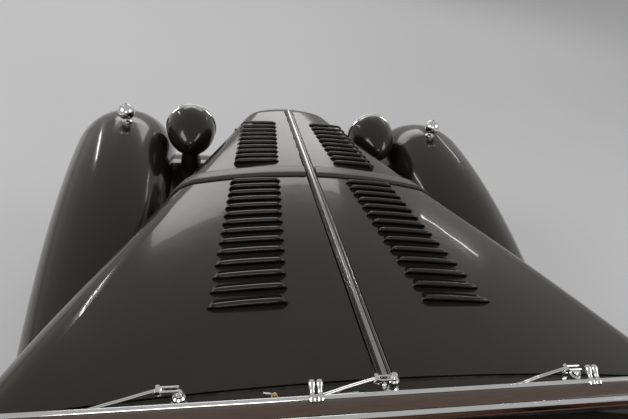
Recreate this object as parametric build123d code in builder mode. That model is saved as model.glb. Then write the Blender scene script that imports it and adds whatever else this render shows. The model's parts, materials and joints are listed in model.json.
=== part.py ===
"""Open two-seat roadster of the nineteen-thirties, in millimetres.

+X points to the nose, +Y to the car's left, +Z up. The origin is on the ground, under the
middle of the car's box. Distances along the car are given from the front axle, ahead positive.
"""

import os
from collections import namedtuple
from math import asin, atan2, cos, degrees, pi, radians, sin, sqrt, tan

from build123d import *

# Overall sizes
LENGTH = 3850
WHEELBASE = 2400
FRONT_OVERHANG = 430
FRONT_TRACK = 1153
REAR_TRACK = 1220
FRONT_AXLE_X = LENGTH / 2 - FRONT_OVERHANG
REAR_AXLE_X = FRONT_AXLE_X - WHEELBASE
TAIL_X = -LENGTH / 2

# Tyres and wheels
TYRE_RADIUS = 340
TYRE_WIDTH = 140
RIM_RADIUS = 203
RIM_WIDTH = 112
RIM_LIP = 13
RIM_WALL = 5
DISC_WALL = 6
DISC_DISH = 22
DISC_HOLES = 12
DISC_HOLE_RADIUS = 13
DISC_HOLE_CIRCLE = 135
HUB_RADIUS = 46
HUB_CAP_LENGTH = 52
SPINNER_SPAN = 150
SPINNER_WIDTH = 26
SPINNER_THICKNESS = 14
AXLE_Z = TYRE_RADIUS

# Gaps between pieces
SEAT_GAP = 0.3
LOFT_GAP = 0.8
RUNNING_GAP = 0.05
MOVING_GAP = 6
PANEL_GAP = 4

# Body panels
PANEL = 8
WALL = 35
BODY_BOTTOM = 380
CORNER = 40

# Bonnet, hinge and louvres
BONNET_REAR = -1260
BONNET_FRONT = 10
BONNET_SKIRT = 700
ENGINE_SIDE_FRONT = -78
HINGE_REAR_Z = 975
HINGE_FALL = 0.06
HINGE_STRIP = 30
HINGE_ROD = 7
LOUVRE_HEIGHT = 12
LOUVRE_DEPTH = 26
LOUVRE_SKIN = 2
LOUVRE_SLOT = 13
LOUVRE_SHOULDER = 15
STRAP_REAR = -520
STRAP_WIDTH = 57
STRAP_THICKNESS = 5
STRAP_GAP = 0.8

# Stations of the bonnet's form, from the front axle
Station = namedtuple("Station", "x half_width top_z shoulder crown bottom_z")


def hinge_z(x):
    """Height of the bonnet's centre line at a distance x from the front axle."""
    return HINGE_REAR_Z - HINGE_FALL * (x - BONNET_REAR)


BONNET_FORM = [
    Station(BONNET_REAR, 705, hinge_z(BONNET_REAR), 125, 4000, BODY_BOTTOM),
    Station(-830, 540, hinge_z(-830), 115, 2800, BODY_BOTTOM),
    Station(-410, 360, hinge_z(-410), 100, 1300, BODY_BOTTOM),
    Station(BONNET_FRONT, 176, hinge_z(BONNET_FRONT), 85, 520, BODY_BOTTOM),
]
NOSE_FORM = [
    Station(BONNET_FRONT, 176, hinge_z(BONNET_FRONT), 85, 520, BODY_BOTTOM),
    Station(60, 160, 884, 90, 420, BODY_BOTTOM),
    Station(110, 136, 846, 95, 260, BODY_BOTTOM),
]
BODY_FORM = [
    Station(BONNET_REAR, 705, HINGE_REAR_Z, 125, 4000, BODY_BOTTOM),
    Station(-1730, 722, 978, 125, 4000, BODY_BOTTOM),
    Station(-2250, 655, 915, 140, 3000, BODY_BOTTOM),
    Station(-2750, 455, 800, 150, 1600, BODY_BOTTOM),
    Station(TAIL_X - FRONT_AXLE_X, 150, 575, 90, 500, BODY_BOTTOM),
]

# Louvre groups: first louvre's distance from the front axle, pitch, how much each pitch is
# shorter than the one before, and count
LouvreGroup = namedtuple("LouvreGroup", "first_x pitch shrink count")
LOUVRE_GROUPS = [LouvreGroup(-1062, 45.4, 1.02, 14), LouvreGroup(-422, 34, 0, 10)]
LOUVRE_ROW_Y = 216
LOUVRE_ROW_SLOPE = 0.105
LOUVRE_LENGTH = 158
LOUVRE_LENGTH_SLOPE = 0.034

# Wings: distances from the axle that they cover
WING_Y = 588
WING_ROUND = 172
WING_FRONT_REACH = 430
WING_FRONT_RADIUS = 440
WING_FRONT_TIP_Z = 400
WING_BACK_RADIUS = 2240
WING_BACK_ANGLE = 30
WING_FALL_LENGTH = 200
WING_SILL_RADIUS = 500
WING_SKIRT = 60
WING_TRIM_FRONT = -395
WING_TRIM_Z = 330
ARCH_RADIUS = 368
TYRE_CLEARANCE = 9
VALANCE_INNER_Y = 140
WING_CUT_Y = 640
WHEEL_CLEAR_RADIUS = 378
REAR_WING_Y = 618
REAR_WING_ROUND = 157
REAR_WING_RADIUS = 455
REAR_WING_Z = 350
REAR_WELL_Y = 515
WELL_WALL = 12

# Cockpit and doors
COCKPIT_FRONT = -1490
COCKPIT_REAR = -2190
COCKPIT_CORNER = 120
BULKHEAD_REAR = -2215
DOOR_FRONT = -1415
DOOR_REAR = -1935
DOOR_BOTTOM = 425
DOOR_TOP = 800
DOOR_SHUT_Y = 640
DOOR_HINGE_STANDOFF = 14
DOOR_HINGE_RADIUS = 9
DOOR_HINGE_HEIGHTS = (490, 680)
DOOR_HINGE_LENGTH = 46

# Dashboard
DASH_REAR = -1440
DASH_WALL = 18
DASH_BOTTOM = 806
DIAL_Z = 862
DIALS = ((390, 50), (270, 50), (120, 38), (20, 38), (-80, 38), (-180, 38))

# Windscreen
SCREEN_BASE = -1335
SCREEN_BASE_Z = 985
SCREEN_TOP = -1466
SCREEN_TOP_Z = 1200
SCREEN_HALF_WIDTH = 560
SCREEN_RAIL = 31
SCREEN_RAIL_THICKNESS = 16
SCREEN_POST = 18
GLASS_THICKNESS = 6
PEG_RADIUS = 4.5
PEG_LENGTH = 24
PEG_PAIR_Y = 169
PEG_SPREAD = 13

# Wipers
WIPER_X = -1284
WIPER_PLACES = (340, 0, -340)
WIPER_POST_RADIUS = 8
WIPER_POST_HEIGHT = 24
WIPER_ARM_LENGTH = 190
WIPER_ARM_RADIUS = 3
WIPER_BLADE = 8

# Chassis
RAIL_Y = 300
RAIL_WIDTH = 60
RAIL_DEPTH = 88
RAIL_FRONT = 140
RAIL_KICK = 130
RAIL_KICK_START = -2222
RAIL_KICK_END = -2320
RAIL_REAR = -3050
CROSS_RADIUS = 22
CROSS_MEMBERS = (-190, -620, -1330)
CROSS_DROP = 8
TAIL_TUBE_RADIUS = 17.6
TAIL_TUBE_Z = BODY_BOTTOM - RAIL_DEPTH + RAIL_KICK + 26
TOW_EYE_RADIUS = 12

# Steering and suspension
KINGPIN_Y = 488
KINGPIN_RADIUS = 11
KNUCKLE_TOP = 425
KNUCKLE_BOTTOM = 255
KINGPIN_TOP = 470
KINGPIN_FOOT = 210
STUB_RADIUS = 17
STUB_LENGTH = 128
BACKPLATE_RADIUS = 127
BACKPLATE_WALL = 5
DRUM_RADIUS = 124
DRUM_LENGTH = 46
DRUM_WALL = 8
SPRING_WIDTH = 50
SPRING_LEAF = 8
SPRING_LEAVES = 5
SPRING_STEP = 0.17
SPRING_CAMBER = 30
SPRING_X = -38
WISHBONE_REACH = 100
STEER_ANGLE = 21

# Rear axle
AXLE_TUBE_RADIUS = 36
DIFFERENTIAL_RADIUS = 112
REAR_STUB_RADIUS = 20
REAR_SPRING_Y = 392
REAR_SPRING_WIDTH = 44
REAR_SPRING_REACH = 430
REAR_SPRING_CAMBER = 44
TAIL_RECESS_Y = 425
TAIL_RECESS_Z = 540
TAIL_RECESS_REAR = -3120

# Lamps
HEADLAMP_X = -10
HEADLAMP_Y = 351
HEADLAMP_Z = 790
HEADLAMP_RADIUS = 88
HEADLAMP_BOWL = 146
HEADLAMP_DOME_ANGLE = 50
HEADLAMP_RIM = 12
HEADLAMP_FOOT_LENGTH = 120
HEADLAMP_FOOT_WIDTH = 56
HEADLAMP_FOOT_Z = 640
LENS_DEPTH = 14
SIDELAMP_X = -18
SIDELAMP_Y = 580
SIDELAMP_RADIUS = 27
SIDELAMP_STEM = 9

# Cockpit furniture
SEAT_WIDTH = 450
SEAT_Y = 275
SEAT_LENGTH = 430
SEAT_HEIGHT = 150
SEAT_FRONT = -1622
SEAT_BACK_HEIGHT = 430
SEAT_BACK_FOOT = 60
SEAT_BACK_TOP = 45
SEAT_RAKE = 8
WHEEL_RIM_RADIUS = 205
WHEEL_RIM_SECTION = 12
STEERING_X = -1705
STEERING_Y = 330
STEERING_Z = 860
STEERING_RAKE = 62
COLUMN_RADIUS = 17
COLUMN_LENGTH = 445

# Engine
ENGINE_FRONT = -330
ENGINE_LENGTH = 640
ENGINE_WIDTH = 220
ENGINE_TOP = 840
RADIATOR_X = -190
RADIATOR_DEPTH = 70
RADIATOR_WIDTH = 380
RADIATOR_HEIGHT = 400
RADIATOR_Z = 610
EXHAUST_Y = -200
EXHAUST_Z = 222
EXHAUST_RADIUS = 24
EXHAUST_WALL = 2
SILENCER_RADIUS = 50
SILENCER_LENGTH = 520
TAIL_PIPE_END = -3330

SIDES = {"left": 1, "right": -1}
SPARE_X = -3010
SPARE_Z = 690
SPARE_TILT = 27
SPARE_RECESS = 100


def at(x):
    """Car coordinate of a distance from the front axle."""
    return FRONT_AXLE_X + x


def section(station, grow=0.0, bottom_drop=0.0):
    """Draws the closed cross-section of a body station: flat bottom, upright sides, round
    shoulders tangent to the sides and to one wide arc across the top."""
    w, r, crown = station.half_width + grow, station.shoulder + grow, station.crown + grow
    top, low = station.top_z + grow, station.bottom_z - grow - bottom_drop
    crown_z = top - crown
    shoulder_z = crown_z + sqrt((crown - r) ** 2 - (w - r) ** 2)
    reach = crown / (crown - r)
    join_y, join_z = (w - r) * reach, crown_z + (shoulder_z - crown_z) * reach
    middle = atan2(join_z - shoulder_z, join_y - (w - r)) / 2
    mid_y, mid_z = w - r + r * cos(middle), shoulder_z + r * sin(middle)
    bend = CORNER * sin(pi / 4)
    with BuildLine() as outline:
        Line((CORNER - w, low), (w - CORNER, low))
        ThreePointArc((w - CORNER, low), (w - CORNER + bend, low + CORNER - bend), (w, low + CORNER))
        Line((w, low + CORNER), (w, shoulder_z))
        ThreePointArc((w, shoulder_z), (mid_y, mid_z), (join_y, join_z))
        ThreePointArc((join_y, join_z), (0, top), (-join_y, join_z))
        ThreePointArc((-join_y, join_z), (-mid_y, mid_z), (-w, shoulder_z))
        Line((-w, shoulder_z), (-w, low + CORNER))
        ThreePointArc((-w, low + CORNER), (CORNER - w - bend, low + CORNER - bend), (CORNER - w, low))
    make_face(outline.line)


def form(stations, grow=0.0, bottom_drop=0.0):
    """Solid through the stations' cross-sections, grown outwards by grow."""
    with BuildPart() as solid:
        for station in stations:
            with BuildSketch(Plane.YZ.offset(at(station.x))):
                section(station, grow, bottom_drop)
        loft()
    return solid.part


def block(x, y, z):
    """Box between the limits (low, high) on each axis, kept out of any builder."""
    centre = Pos((x[0] + x[1]) / 2, (y[0] + y[1]) / 2, (z[0] + z[1]) / 2)
    return centre * Box(x[1] - x[0], y[1] - y[0], z[1] - z[0], mode=Mode.PRIVATE)


def rod(start, end, radius):
    """Round bar between two points."""
    way = Vector(*end) - Vector(*start)
    with BuildPart() as bar:
        with BuildSketch(Plane(origin=start, z_dir=way)):
            Circle(radius)
        extrude(amount=way.length)
    return bar.part


FAR = 5000
PIECES = {}


def largest(shape):
    """Biggest solid of a cut shape; the slivers beside it go."""
    return max(shape.solids(), key=lambda solid: solid.volume)


def keep(name, shape):
    """Labels a finished piece for the export."""
    shape.label = name
    PIECES[name] = shape


def louvre_places():
    """(distance from the front axle, row offset, louvre length) of each louvre in one row."""
    first = LOUVRE_GROUPS[0].first_x
    for group in LOUVRE_GROUPS:
        for n in range(group.count):
            x = group.first_x + n * group.pitch - group.shrink * n * (n - 1) / 2
            yield (
                x,
                LOUVRE_ROW_Y - LOUVRE_ROW_SLOPE * (x - first),
                LOUVRE_LENGTH - LOUVRE_LENGTH_SLOPE * (x - first),
            )


def crown_height(x, y):
    """Height of the bonnet's top at a distance x from the front axle and y from the middle."""
    rows = BONNET_FORM
    for a, b in zip(rows, rows[1:]):
        if a.x <= x <= b.x:
            share = (x - a.x) / (b.x - a.x)
            crown = a.crown + (b.crown - a.crown) * share
            return hinge_z(x) - crown + sqrt(crown**2 - y**2)
    return hinge_z(x)


def louvre_hood(x, y, length, skin):
    """Pressed hood of one louvre: a low arch at its mouth, which faces the rear, that dies
    into the panel ahead. skin shrinks it on all sides, for its inside."""
    height = LOUVRE_HEIGHT - skin
    low = crown_height(x, y) - PANEL / 2
    tilt = degrees(asin(y / 2500))
    mouth = Plane(origin=(at(x), y, low), x_dir=(0, 1, -tan(radians(tilt))), z_dir=(1, 0, -HINGE_FALL))
    with BuildPart() as hood:
        for reach, share in ((-skin, 1.0), (LOUVRE_DEPTH - 2 * skin, 0.08)):
            half = (length / 2 - skin) * (1 - 0.12 * (1 - share))
            rise = PANEL / 2 + height * share
            with BuildSketch(mouth.offset(reach)):
                shoulder = half - LOUVRE_SHOULDER
                with BuildLine():
                    Line((-half, 0), (half, 0))
                    right = ThreePointArc((half, 0), (half - 0.3 * LOUVRE_SHOULDER, 0.6 * rise), (shoulder, 0.92 * rise))
                    left = ThreePointArc((-shoulder, 0.92 * rise), (0.3 * LOUVRE_SHOULDER - half, 0.6 * rise), (-half, 0))
                    ThreePointArc(right @ 1, (0, rise), left @ 0)
                make_face()
        loft()
    return hood.part


def bonnet():
    """Two top halves that hinge on the middle, each with its row of louvres."""
    skirt = block((at(BONNET_REAR), at(BONNET_FRONT)), (HINGE_STRIP / 2 + 0.6, FAR), (BONNET_SKIRT, FAR))
    shell = (form(BONNET_FORM) - form(BONNET_FORM, -PANEL, 2 * PANEL)) & skirt
    trim = block((at(BONNET_REAR) + PANEL_GAP, at(BONNET_FRONT) - PANEL_GAP / 2), (0, FAR), (0, FAR))
    shell = shell & trim
    shell = shell + [louvre_hood(x, y, length, 0) for x, y, length in louvre_places()]
    hollows = []
    for x, y, length in louvre_places():
        top = crown_height(x, y)
        reach = length / 2 - LOUVRE_SLOT
        hollows.append(louvre_hood(x, y, length, LOUVRE_SKIN))
        hollows.append(
            block((at(x) + LOUVRE_SKIN, at(x) + LOUVRE_SLOT), (y - reach, y + reach), (top - 3 * PANEL, top - PANEL / 4))
        )
    shell = shell - hollows
    keep("bonnet_left", shell)
    keep("bonnet_right", mirror(shell, Plane.XZ))


def bonnet_hinge():
    """Fixed strip down the middle of the bonnet, with the hinge rod on top."""
    ends = [(at(x), 0, hinge_z(x)) for x in (BONNET_REAR + LOFT_GAP, BONNET_FRONT - LOFT_GAP)]
    start, end = ends
    with BuildPart() as strip:
        with BuildSketch(Plane(origin=start, x_dir=(0, 1, 0), z_dir=Vector(*end) - Vector(*start))):
            Rectangle(HINGE_STRIP, PANEL, align=(Align.CENTER, Align.MAX))
            Circle(HINGE_ROD)
        extrude(amount=(Vector(*end) - Vector(*start)).length)
    keep("bonnet_hinge", strip.part)


def straps():
    """Leather strap over the bonnet, in two lengths that part on the hinge."""
    band = form(BONNET_FORM, STRAP_THICKNESS + STRAP_GAP, 0) - form(BONNET_FORM, STRAP_GAP, 2 * PANEL)
    rear = at(STRAP_REAR)
    band = band & block((rear, rear + STRAP_WIDTH), (HINGE_STRIP / 2 + 1, FAR), (BONNET_SKIRT + 2, FAR))
    keep("strap_left", band)
    keep("strap_right", mirror(band, Plane.XZ))


def engine_sides():
    """Fixed lower sides of the engine bay, under the bonnet's edge."""
    side = form(BONNET_FORM) - form(BONNET_FORM, -PANEL, 2 * PANEL)
    side = side & block(
        (at(BONNET_REAR) + SEAT_GAP, at(ENGINE_SIDE_FRONT)), (90, FAR), (BODY_BOTTOM, BONNET_SKIRT - MOVING_GAP)
    )
    keep("engine_sides", side + mirror(side, Plane.XZ))


def nose():
    """Radiator shell that carries the bonnet's line round to the front, and its grille."""
    outer = form(NOSE_FORM)
    hollow = form(NOSE_FORM, -PANEL, 2 * PANEL)
    shell = outer - hollow
    keep("radiator_shell", shell)
    last = NOSE_FORM[-1]
    inner = form(NOSE_FORM, -PANEL - SEAT_GAP, 0)
    bar_count = 11
    pitch = 2 * (last.half_width - PANEL) / bar_count
    with BuildPart() as slats:
        add(inner & block((at(last.x) - 24, at(last.x) - 8), (-FAR, FAR), (0, FAR)))
        with Locations((at(last.x) - 16, 0, 600)):
            Box(60, 2 * (last.half_width - PANEL) - 24, 390, mode=Mode.SUBTRACT)
        with Locations(*[(at(last.x) - 16, (n - (bar_count - 1) / 2) * pitch, 600) for n in range(bar_count)]):
            Box(14, 7, 396)
    keep("grille", slats.part)


def wing_path(y):
    """Line that the front wing's crest follows, from its tip to the sill, at a distance y."""
    with BuildLine(Plane.XZ.offset(-y)) as path:
        tip = (FRONT_AXLE_X + WING_FRONT_REACH, WING_FRONT_TIP_Z)
        front = JernArc(tip, (0, 1), WING_FRONT_RADIUS, 90)
        back = JernArc(front @ 1, front % 1, WING_BACK_RADIUS, WING_BACK_ANGLE)
        fall = PolarLine(back @ 1, WING_FALL_LENGTH, direction=back % 1)
        JernArc(fall @ 1, fall % 1, WING_SILL_RADIUS, -WING_BACK_ANGLE)
    return path


def wing_profile(radius, skirt):
    """Draws the half-round band of a wing, its open side inwards, with a short outer skirt."""
    inner = radius - PANEL
    with BuildLine() as outline:
        ThreePointArc((radius, -radius), (0, 0), (-radius, -radius))
        Line((-radius, -radius), (-radius, -radius - skirt))
        Line((-radius, -radius - skirt), (-inner, -radius - skirt))
        Line((-inner, -radius - skirt), (-inner, -radius))
        ThreePointArc((-inner, -radius), (0, -PANEL), (inner, -radius))
        Line((inner, -radius), (radius, -radius))
    make_face(outline.line)


def front_wings(body_cut, bonnet_cut):
    """Wings that sweep over the front wheels and down to the sill, with the inner valance
    that runs across to the bonnet."""
    path = wing_path(WING_Y)
    start = path.line @ 0
    across = Plane(origin=start, x_dir=(0, -1, 0), z_dir=(0, 0, 1))
    with BuildPart() as wing:
        with BuildSketch(across):
            wing_profile(WING_ROUND, WING_SKIRT)
        sweep(path=path.line)
    with BuildPart() as valance:
        with BuildSketch(across):
            with Locations(((WING_Y - VALANCE_INNER_Y + WING_ROUND) / 2, -WING_ROUND + PANEL / 2)):
                Rectangle(WING_Y - VALANCE_INNER_Y - WING_ROUND + 2 * PANEL, PANEL)
        with BuildLine(Plane.XZ.offset(-WING_Y)) as short:
            tip = (FRONT_AXLE_X + WING_FRONT_REACH, WING_FRONT_TIP_Z)
            front = JernArc(tip, (0, 1), WING_FRONT_RADIUS, 90)
            JernArc(front @ 1, front % 1, WING_BACK_RADIUS, WING_BACK_ANGLE * 0.62)
        sweep(path=short.line)
    shape = wing.part + valance.part
    shape = shape - body_cut - bonnet_cut
    shape = shape - block((-FAR, at(BONNET_REAR) + 90), (0, WING_CUT_Y), (0, FAR))
    outside = block((0, FAR), (WING_Y, FAR), (-FAR, FAR))
    arch = outside & Pos(FRONT_AXLE_X, FRONT_TRACK / 2, AXLE_Z) * Sphere(ARCH_RADIUS, mode=Mode.PRIVATE)
    sweeps = [tyre_space(STEER_ANGLE * n / 3) - outside for n in range(-3, 4)]
    low = block((-FAR, at(WING_TRIM_FRONT)), (-FAR, FAR), (-FAR, WING_TRIM_Z))
    shape = largest(shape - [arch, low, *sweeps])
    keep("front_wing_left", shape)
    keep("front_wing_right", mirror(shape, Plane.XZ))


def tyre_space(angle):
    """Room that the left front tyre needs when it is steered to an angle in degrees."""
    room = Cylinder(TYRE_RADIUS + TYRE_CLEARANCE, TYRE_WIDTH + 2 * TYRE_CLEARANCE, mode=Mode.PRIVATE)
    return (
        Pos(FRONT_AXLE_X, KINGPIN_Y, AXLE_Z)
        * Rot(0, 0, angle)
        * Pos(0, FRONT_TRACK / 2 - KINGPIN_Y, 0)
        * Rot(90, 0, 0)
        * room
    )


def rear_wings(body_cut):
    """Round wings over the rear wheels."""
    with BuildPart() as wing:
        with BuildLine(Plane.XZ.offset(-REAR_WING_Y)) as path:
            CenterArc((REAR_AXLE_X, REAR_WING_Z), REAR_WING_RADIUS, 4, 168)
        start, way = path.line @ 0, path.line % 0
        with BuildSketch(Plane(origin=start, x_dir=(0, -1, 0), z_dir=way)):
            wing_profile(REAR_WING_ROUND, WING_SKIRT)
        sweep(path=path.line)
    shape = wing.part - body_cut
    shape = largest(shape)
    keep("rear_wing_left", shape)
    keep("rear_wing_right", mirror(shape, Plane.XZ))


def body():
    """Tub with its doors, and the tail, all cut from one form."""
    outer = form(BODY_FORM)
    inner = form(BODY_FORM, -WALL, 0)
    room = inner & block((at(BULKHEAD_REAR) + WALL, at(BONNET_REAR) - WALL), (-FAR, FAR), (0, FAR))
    with BuildPart() as mouth:
        with BuildSketch(Plane.XY.offset(600)):
            with Locations((at((COCKPIT_FRONT + COCKPIT_REAR) / 2), 0)):
                RectangleRounded(COCKPIT_FRONT - COCKPIT_REAR, 2 * (BODY_FORM[2].half_width - WALL), COCKPIT_CORNER)
        extrude(amount=600)
    with BuildPart() as elbow:
        with BuildSketch(Plane.XZ.offset(-FAR / 2)):
            with BuildLine():
                FilletPolyline(
                    (at(COCKPIT_FRONT) + 40, 1200),
                    (at(DOOR_FRONT) - 40, 990),
                    (at(DOOR_FRONT) - 130, DOOR_TOP),
                    (at(DOOR_REAR) + 30, DOOR_TOP),
                    (at(COCKPIT_REAR), 960),
                    (at(COCKPIT_REAR), 1200),
                    radius=30,
                    close=True,
                )
            make_face()
        extrude(amount=FAR)
    tub = outer & block((at(BULKHEAD_REAR), at(BONNET_REAR)), (-FAR, FAR), (0, FAR))
    well = Pos(REAR_AXLE_X, 0, AXLE_Z) * Rot(90, 0, 0) * Cylinder(WHEEL_CLEAR_RADIUS, 2 * FAR / 5, mode=Mode.PRIVATE)
    well = well - block((-FAR, FAR), (-REAR_WELL_Y, REAR_WELL_Y), (-FAR, FAR))
    lining = Pos(REAR_AXLE_X, 0, AXLE_Z) * Rot(90, 0, 0) * Cylinder(
        WHEEL_CLEAR_RADIUS + WELL_WALL, 2 * FAR / 5, mode=Mode.PRIVATE
    )
    lining = lining - block((-FAR, FAR), (WELL_WALL - REAR_WELL_Y, REAR_WELL_Y - WELL_WALL), (-FAR, FAR))
    tub = tub - (room - lining) - mouth.part - elbow.part - well
    gap = PANEL_GAP
    leaf = block((at(DOOR_REAR) + gap, at(DOOR_FRONT) - gap), (DOOR_SHUT_Y + gap, FAR), (DOOR_BOTTOM + gap, FAR))
    door = largest(tub & leaf)
    opening = block((at(DOOR_REAR), at(DOOR_FRONT)), (DOOR_SHUT_Y, FAR), (DOOR_BOTTOM, FAR))
    tub = tub - opening - mirror(opening, Plane.XZ)
    x, y = door_axis()
    root = y - DOOR_HINGE_STANDOFF - 6
    half = DOOR_HINGE_LENGTH / 2
    for z in DOOR_HINGE_HEIGHTS:
        door = door + rod((x, y, z + 0.4), (x, y, z + half), DOOR_HINGE_RADIUS)
        door = door + block((x - 26, x - 3), (root, y), (z + 0.4, z + half))
        fixed = rod((x, y, z - half), (x, y, z), DOOR_HINGE_RADIUS)
        fixed = fixed + block((x + 3, x + 26), (root, y), (z - half, z))
        tub = tub + fixed + mirror(fixed, Plane.XZ)
    handle_x, skin = at(DOOR_REAR) + 90, side_width(DOOR_REAR + 90)
    handle_z = DOOR_TOP - 90
    door = door + rod((handle_x, skin - 12, handle_z), (handle_x, skin + 34, handle_z), 8)
    door = door + rod((handle_x - 14, skin + 34, handle_z), (handle_x + 86, skin + 34, handle_z), 8)
    door = largest(door)
    keep("door_left", door)
    keep("door_right", mirror(door, Plane.XZ))
    keep("body_tub", largest(tub))

    tail = outer & block((TAIL_X - 1, at(BULKHEAD_REAR) - SEAT_GAP), (-FAR, FAR), (0, FAR))
    recess = block((at(TAIL_RECESS_REAR), at(BULKHEAD_REAR)), (-TAIL_RECESS_Y, TAIL_RECESS_Y), (0, TAIL_RECESS_Z))
    tail = tail - recess - well
    spare_hole = spare_plane() * Cylinder(
        TYRE_RADIUS + 12, 2 * SPARE_RECESS, align=(Align.CENTER, Align.CENTER, Align.MIN), mode=Mode.PRIVATE
    )
    tail = tail - spare_hole
    keep("tail_body", largest(tail))
    return outer


def spare_plane():
    """Floor of the spare wheel's recess in the tail."""
    return Location((at(SPARE_X), 0, SPARE_Z), (0, -SPARE_TILT, 0))


def door_axis():
    """Plan position of the left door's hinge line, outside the skin at the door's front edge."""
    return at(DOOR_FRONT) - PANEL_GAP / 2, side_width(DOOR_FRONT) + DOOR_HINGE_STANDOFF


def side_width(x):
    """Half width of the body at a distance x from the front axle, between its stations."""
    rows = sorted(BODY_FORM, key=lambda s: s.x)
    for a, b in zip(rows, rows[1:]):
        if a.x <= x <= b.x:
            return a.half_width + (b.half_width - a.half_width) * (x - a.x) / (b.x - a.x)
    return rows[0].half_width


def dashboard():
    """Instrument panel across the front of the cockpit."""
    inner = form(BODY_FORM, -WALL - LOFT_GAP, 0)
    half = DOOR_SHUT_Y - PANEL_GAP
    panel = inner & block((at(DASH_REAR), at(DASH_REAR) + DASH_WALL), (-half, half), (DASH_BOTTOM, FAR))
    with BuildPart() as board:
        add(panel)
        for y, radius in DIALS:
            with BuildSketch(Plane(origin=(at(DASH_REAR), y, DIAL_Z), x_dir=(0, 1, 0), z_dir=(-1, 0, 0))):
                Circle(radius)
                Circle(radius - 5, mode=Mode.SUBTRACT)
            extrude(amount=8)
    keep("dashboard", board.part)


def screen_point(share, y, out=0.0):
    """Point on the windscreen's plane: share runs from its foot to its top rail."""
    dx, dz = SCREEN_TOP - SCREEN_BASE, SCREEN_TOP_Z - SCREEN_BASE_Z
    length = sqrt(dx * dx + dz * dz)
    return (
        at(SCREEN_BASE) + dx * share + out * dz / length,
        y,
        SCREEN_BASE_Z + dz * share - out * dx / length,
    )


def windscreen(body_cut):
    """Fixed screen: posts, foot bar, broad top rail with its hood pegs, and the glass."""
    half = SCREEN_HALF_WIDTH
    x, z = at(SCREEN_TOP), SCREEN_TOP_Z
    depth, thick = SCREEN_RAIL / 2, SCREEN_RAIL_THICKNESS / 2
    frame = block((x - depth, x + depth), (-half - 12, half + 12), (z - thick, z + thick))
    for y in (half, -half):
        frame = frame + rod(screen_point(-0.35, y), screen_point(0.985, y), SCREEN_POST / 2)
    frame = frame + rod(screen_point(0.07, -half), screen_point(0.07, half), SCREEN_POST / 2 - 1)
    for y in (PEG_PAIR_Y, -PEG_PAIR_Y):
        for step in (-PEG_SPREAD / 2, PEG_SPREAD / 2):
            reach = SCREEN_RAIL / 2 + PEG_LENGTH
            frame = frame + rod(screen_point(1, y + step), screen_point(1, y + step, reach), PEG_RADIUS)
    frame = frame - body_cut
    normal = Vector(*screen_point(0, 0, 1)) - Vector(*screen_point(0, 0))
    with BuildPart() as glass:
        with BuildSketch(Plane(origin=screen_point(0.5, 0), x_dir=(0, 1, 0), z_dir=normal)):
            height = Vector(*screen_point(1, 0)).sub(Vector(*screen_point(0.07, 0))).length
            Rectangle(2 * half - SCREEN_POST - 2 * SEAT_GAP, height - SCREEN_POST / 2 - SCREEN_RAIL_THICKNESS)
        extrude(amount=GLASS_THICKNESS / 2, both=True)
    pane = glass.part - frame
    keep("windscreen_frame", largest(frame))
    keep("windscreen_glass", largest(pane))


def wipers(body_cut):
    """Three wipers parked on the scuttle, each a post, a sprung arm and a blade."""
    solids = []
    for y in WIPER_PLACES:
        foot_z = 940
        head_z = HINGE_REAR_Z + WIPER_POST_HEIGHT
        x = at(WIPER_X)
        wiper = rod((x, y, foot_z), (x, y, head_z), WIPER_POST_RADIUS)
        wiper = wiper + rod((x, y, head_z - 6), (x - 18, y + 60, head_z + 2), WIPER_ARM_RADIUS)
        tip = (x - 26, y + 60 + WIPER_ARM_LENGTH, HINGE_REAR_Z + 12)
        wiper = wiper + rod((x - 18, y + 60, head_z + 2), tip, WIPER_ARM_RADIUS)
        wiper = wiper - body_cut
        solids.append(largest(wiper))
    keep("wipers", Compound(children=solids))


def chassis():
    """Ladder frame: two rails that kick up over the rear axle, with an upright tow eye in each
    front end, and tubes across."""
    top = BODY_BOTTOM - SEAT_GAP
    low = top - RAIL_DEPTH
    solids = []
    for sign in SIDES.values():
        with BuildPart() as rail:
            with BuildSketch(Plane.XZ.offset(-sign * RAIL_Y)):
                with BuildLine():
                    Polyline(
                        (at(RAIL_FRONT), low),
                        (at(RAIL_KICK_START), low),
                        (at(RAIL_KICK_END), low + RAIL_KICK),
                        (at(RAIL_REAR), low + RAIL_KICK),
                        (at(RAIL_REAR), low + RAIL_KICK + RAIL_DEPTH * 0.6),
                        (at(RAIL_KICK_END), low + RAIL_KICK + RAIL_DEPTH * 0.7),
                        (at(RAIL_KICK_START), top),
                        (at(RAIL_FRONT), top),
                        close=True,
                    )
                make_face()
            extrude(amount=RAIL_WIDTH / 2, both=True)
            with BuildSketch(Plane.XY.offset(low)):
                with Locations((at(RAIL_FRONT), sign * RAIL_Y)):
                    Circle(RAIL_WIDTH / 2)
            extrude(amount=RAIL_DEPTH)
            with BuildSketch(Plane.XY.offset(low)):
                with Locations((at(RAIL_FRONT), sign * RAIL_Y)):
                    Circle(TOW_EYE_RADIUS)
            extrude(amount=RAIL_DEPTH, mode=Mode.SUBTRACT)
        solids.append(rail.part)
    seats_under = [Pos(0, step, -SEAT_GAP) * rail for rail in solids[:2] for step in (SEAT_GAP, -SEAT_GAP)]
    tubes = [(at(x), low - CROSS_DROP, CROSS_RADIUS) for x in CROSS_MEMBERS]
    tubes.append((at(RAIL_REAR) + 40, TAIL_TUBE_Z, TAIL_TUBE_RADIUS))
    for x, z, radius in tubes:
        solids.append(largest(rod((x, -RAIL_Y, z), (x, RAIL_Y, z), radius) - seats_under))
    keep("chassis_frame", Compound(children=solids))


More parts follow.
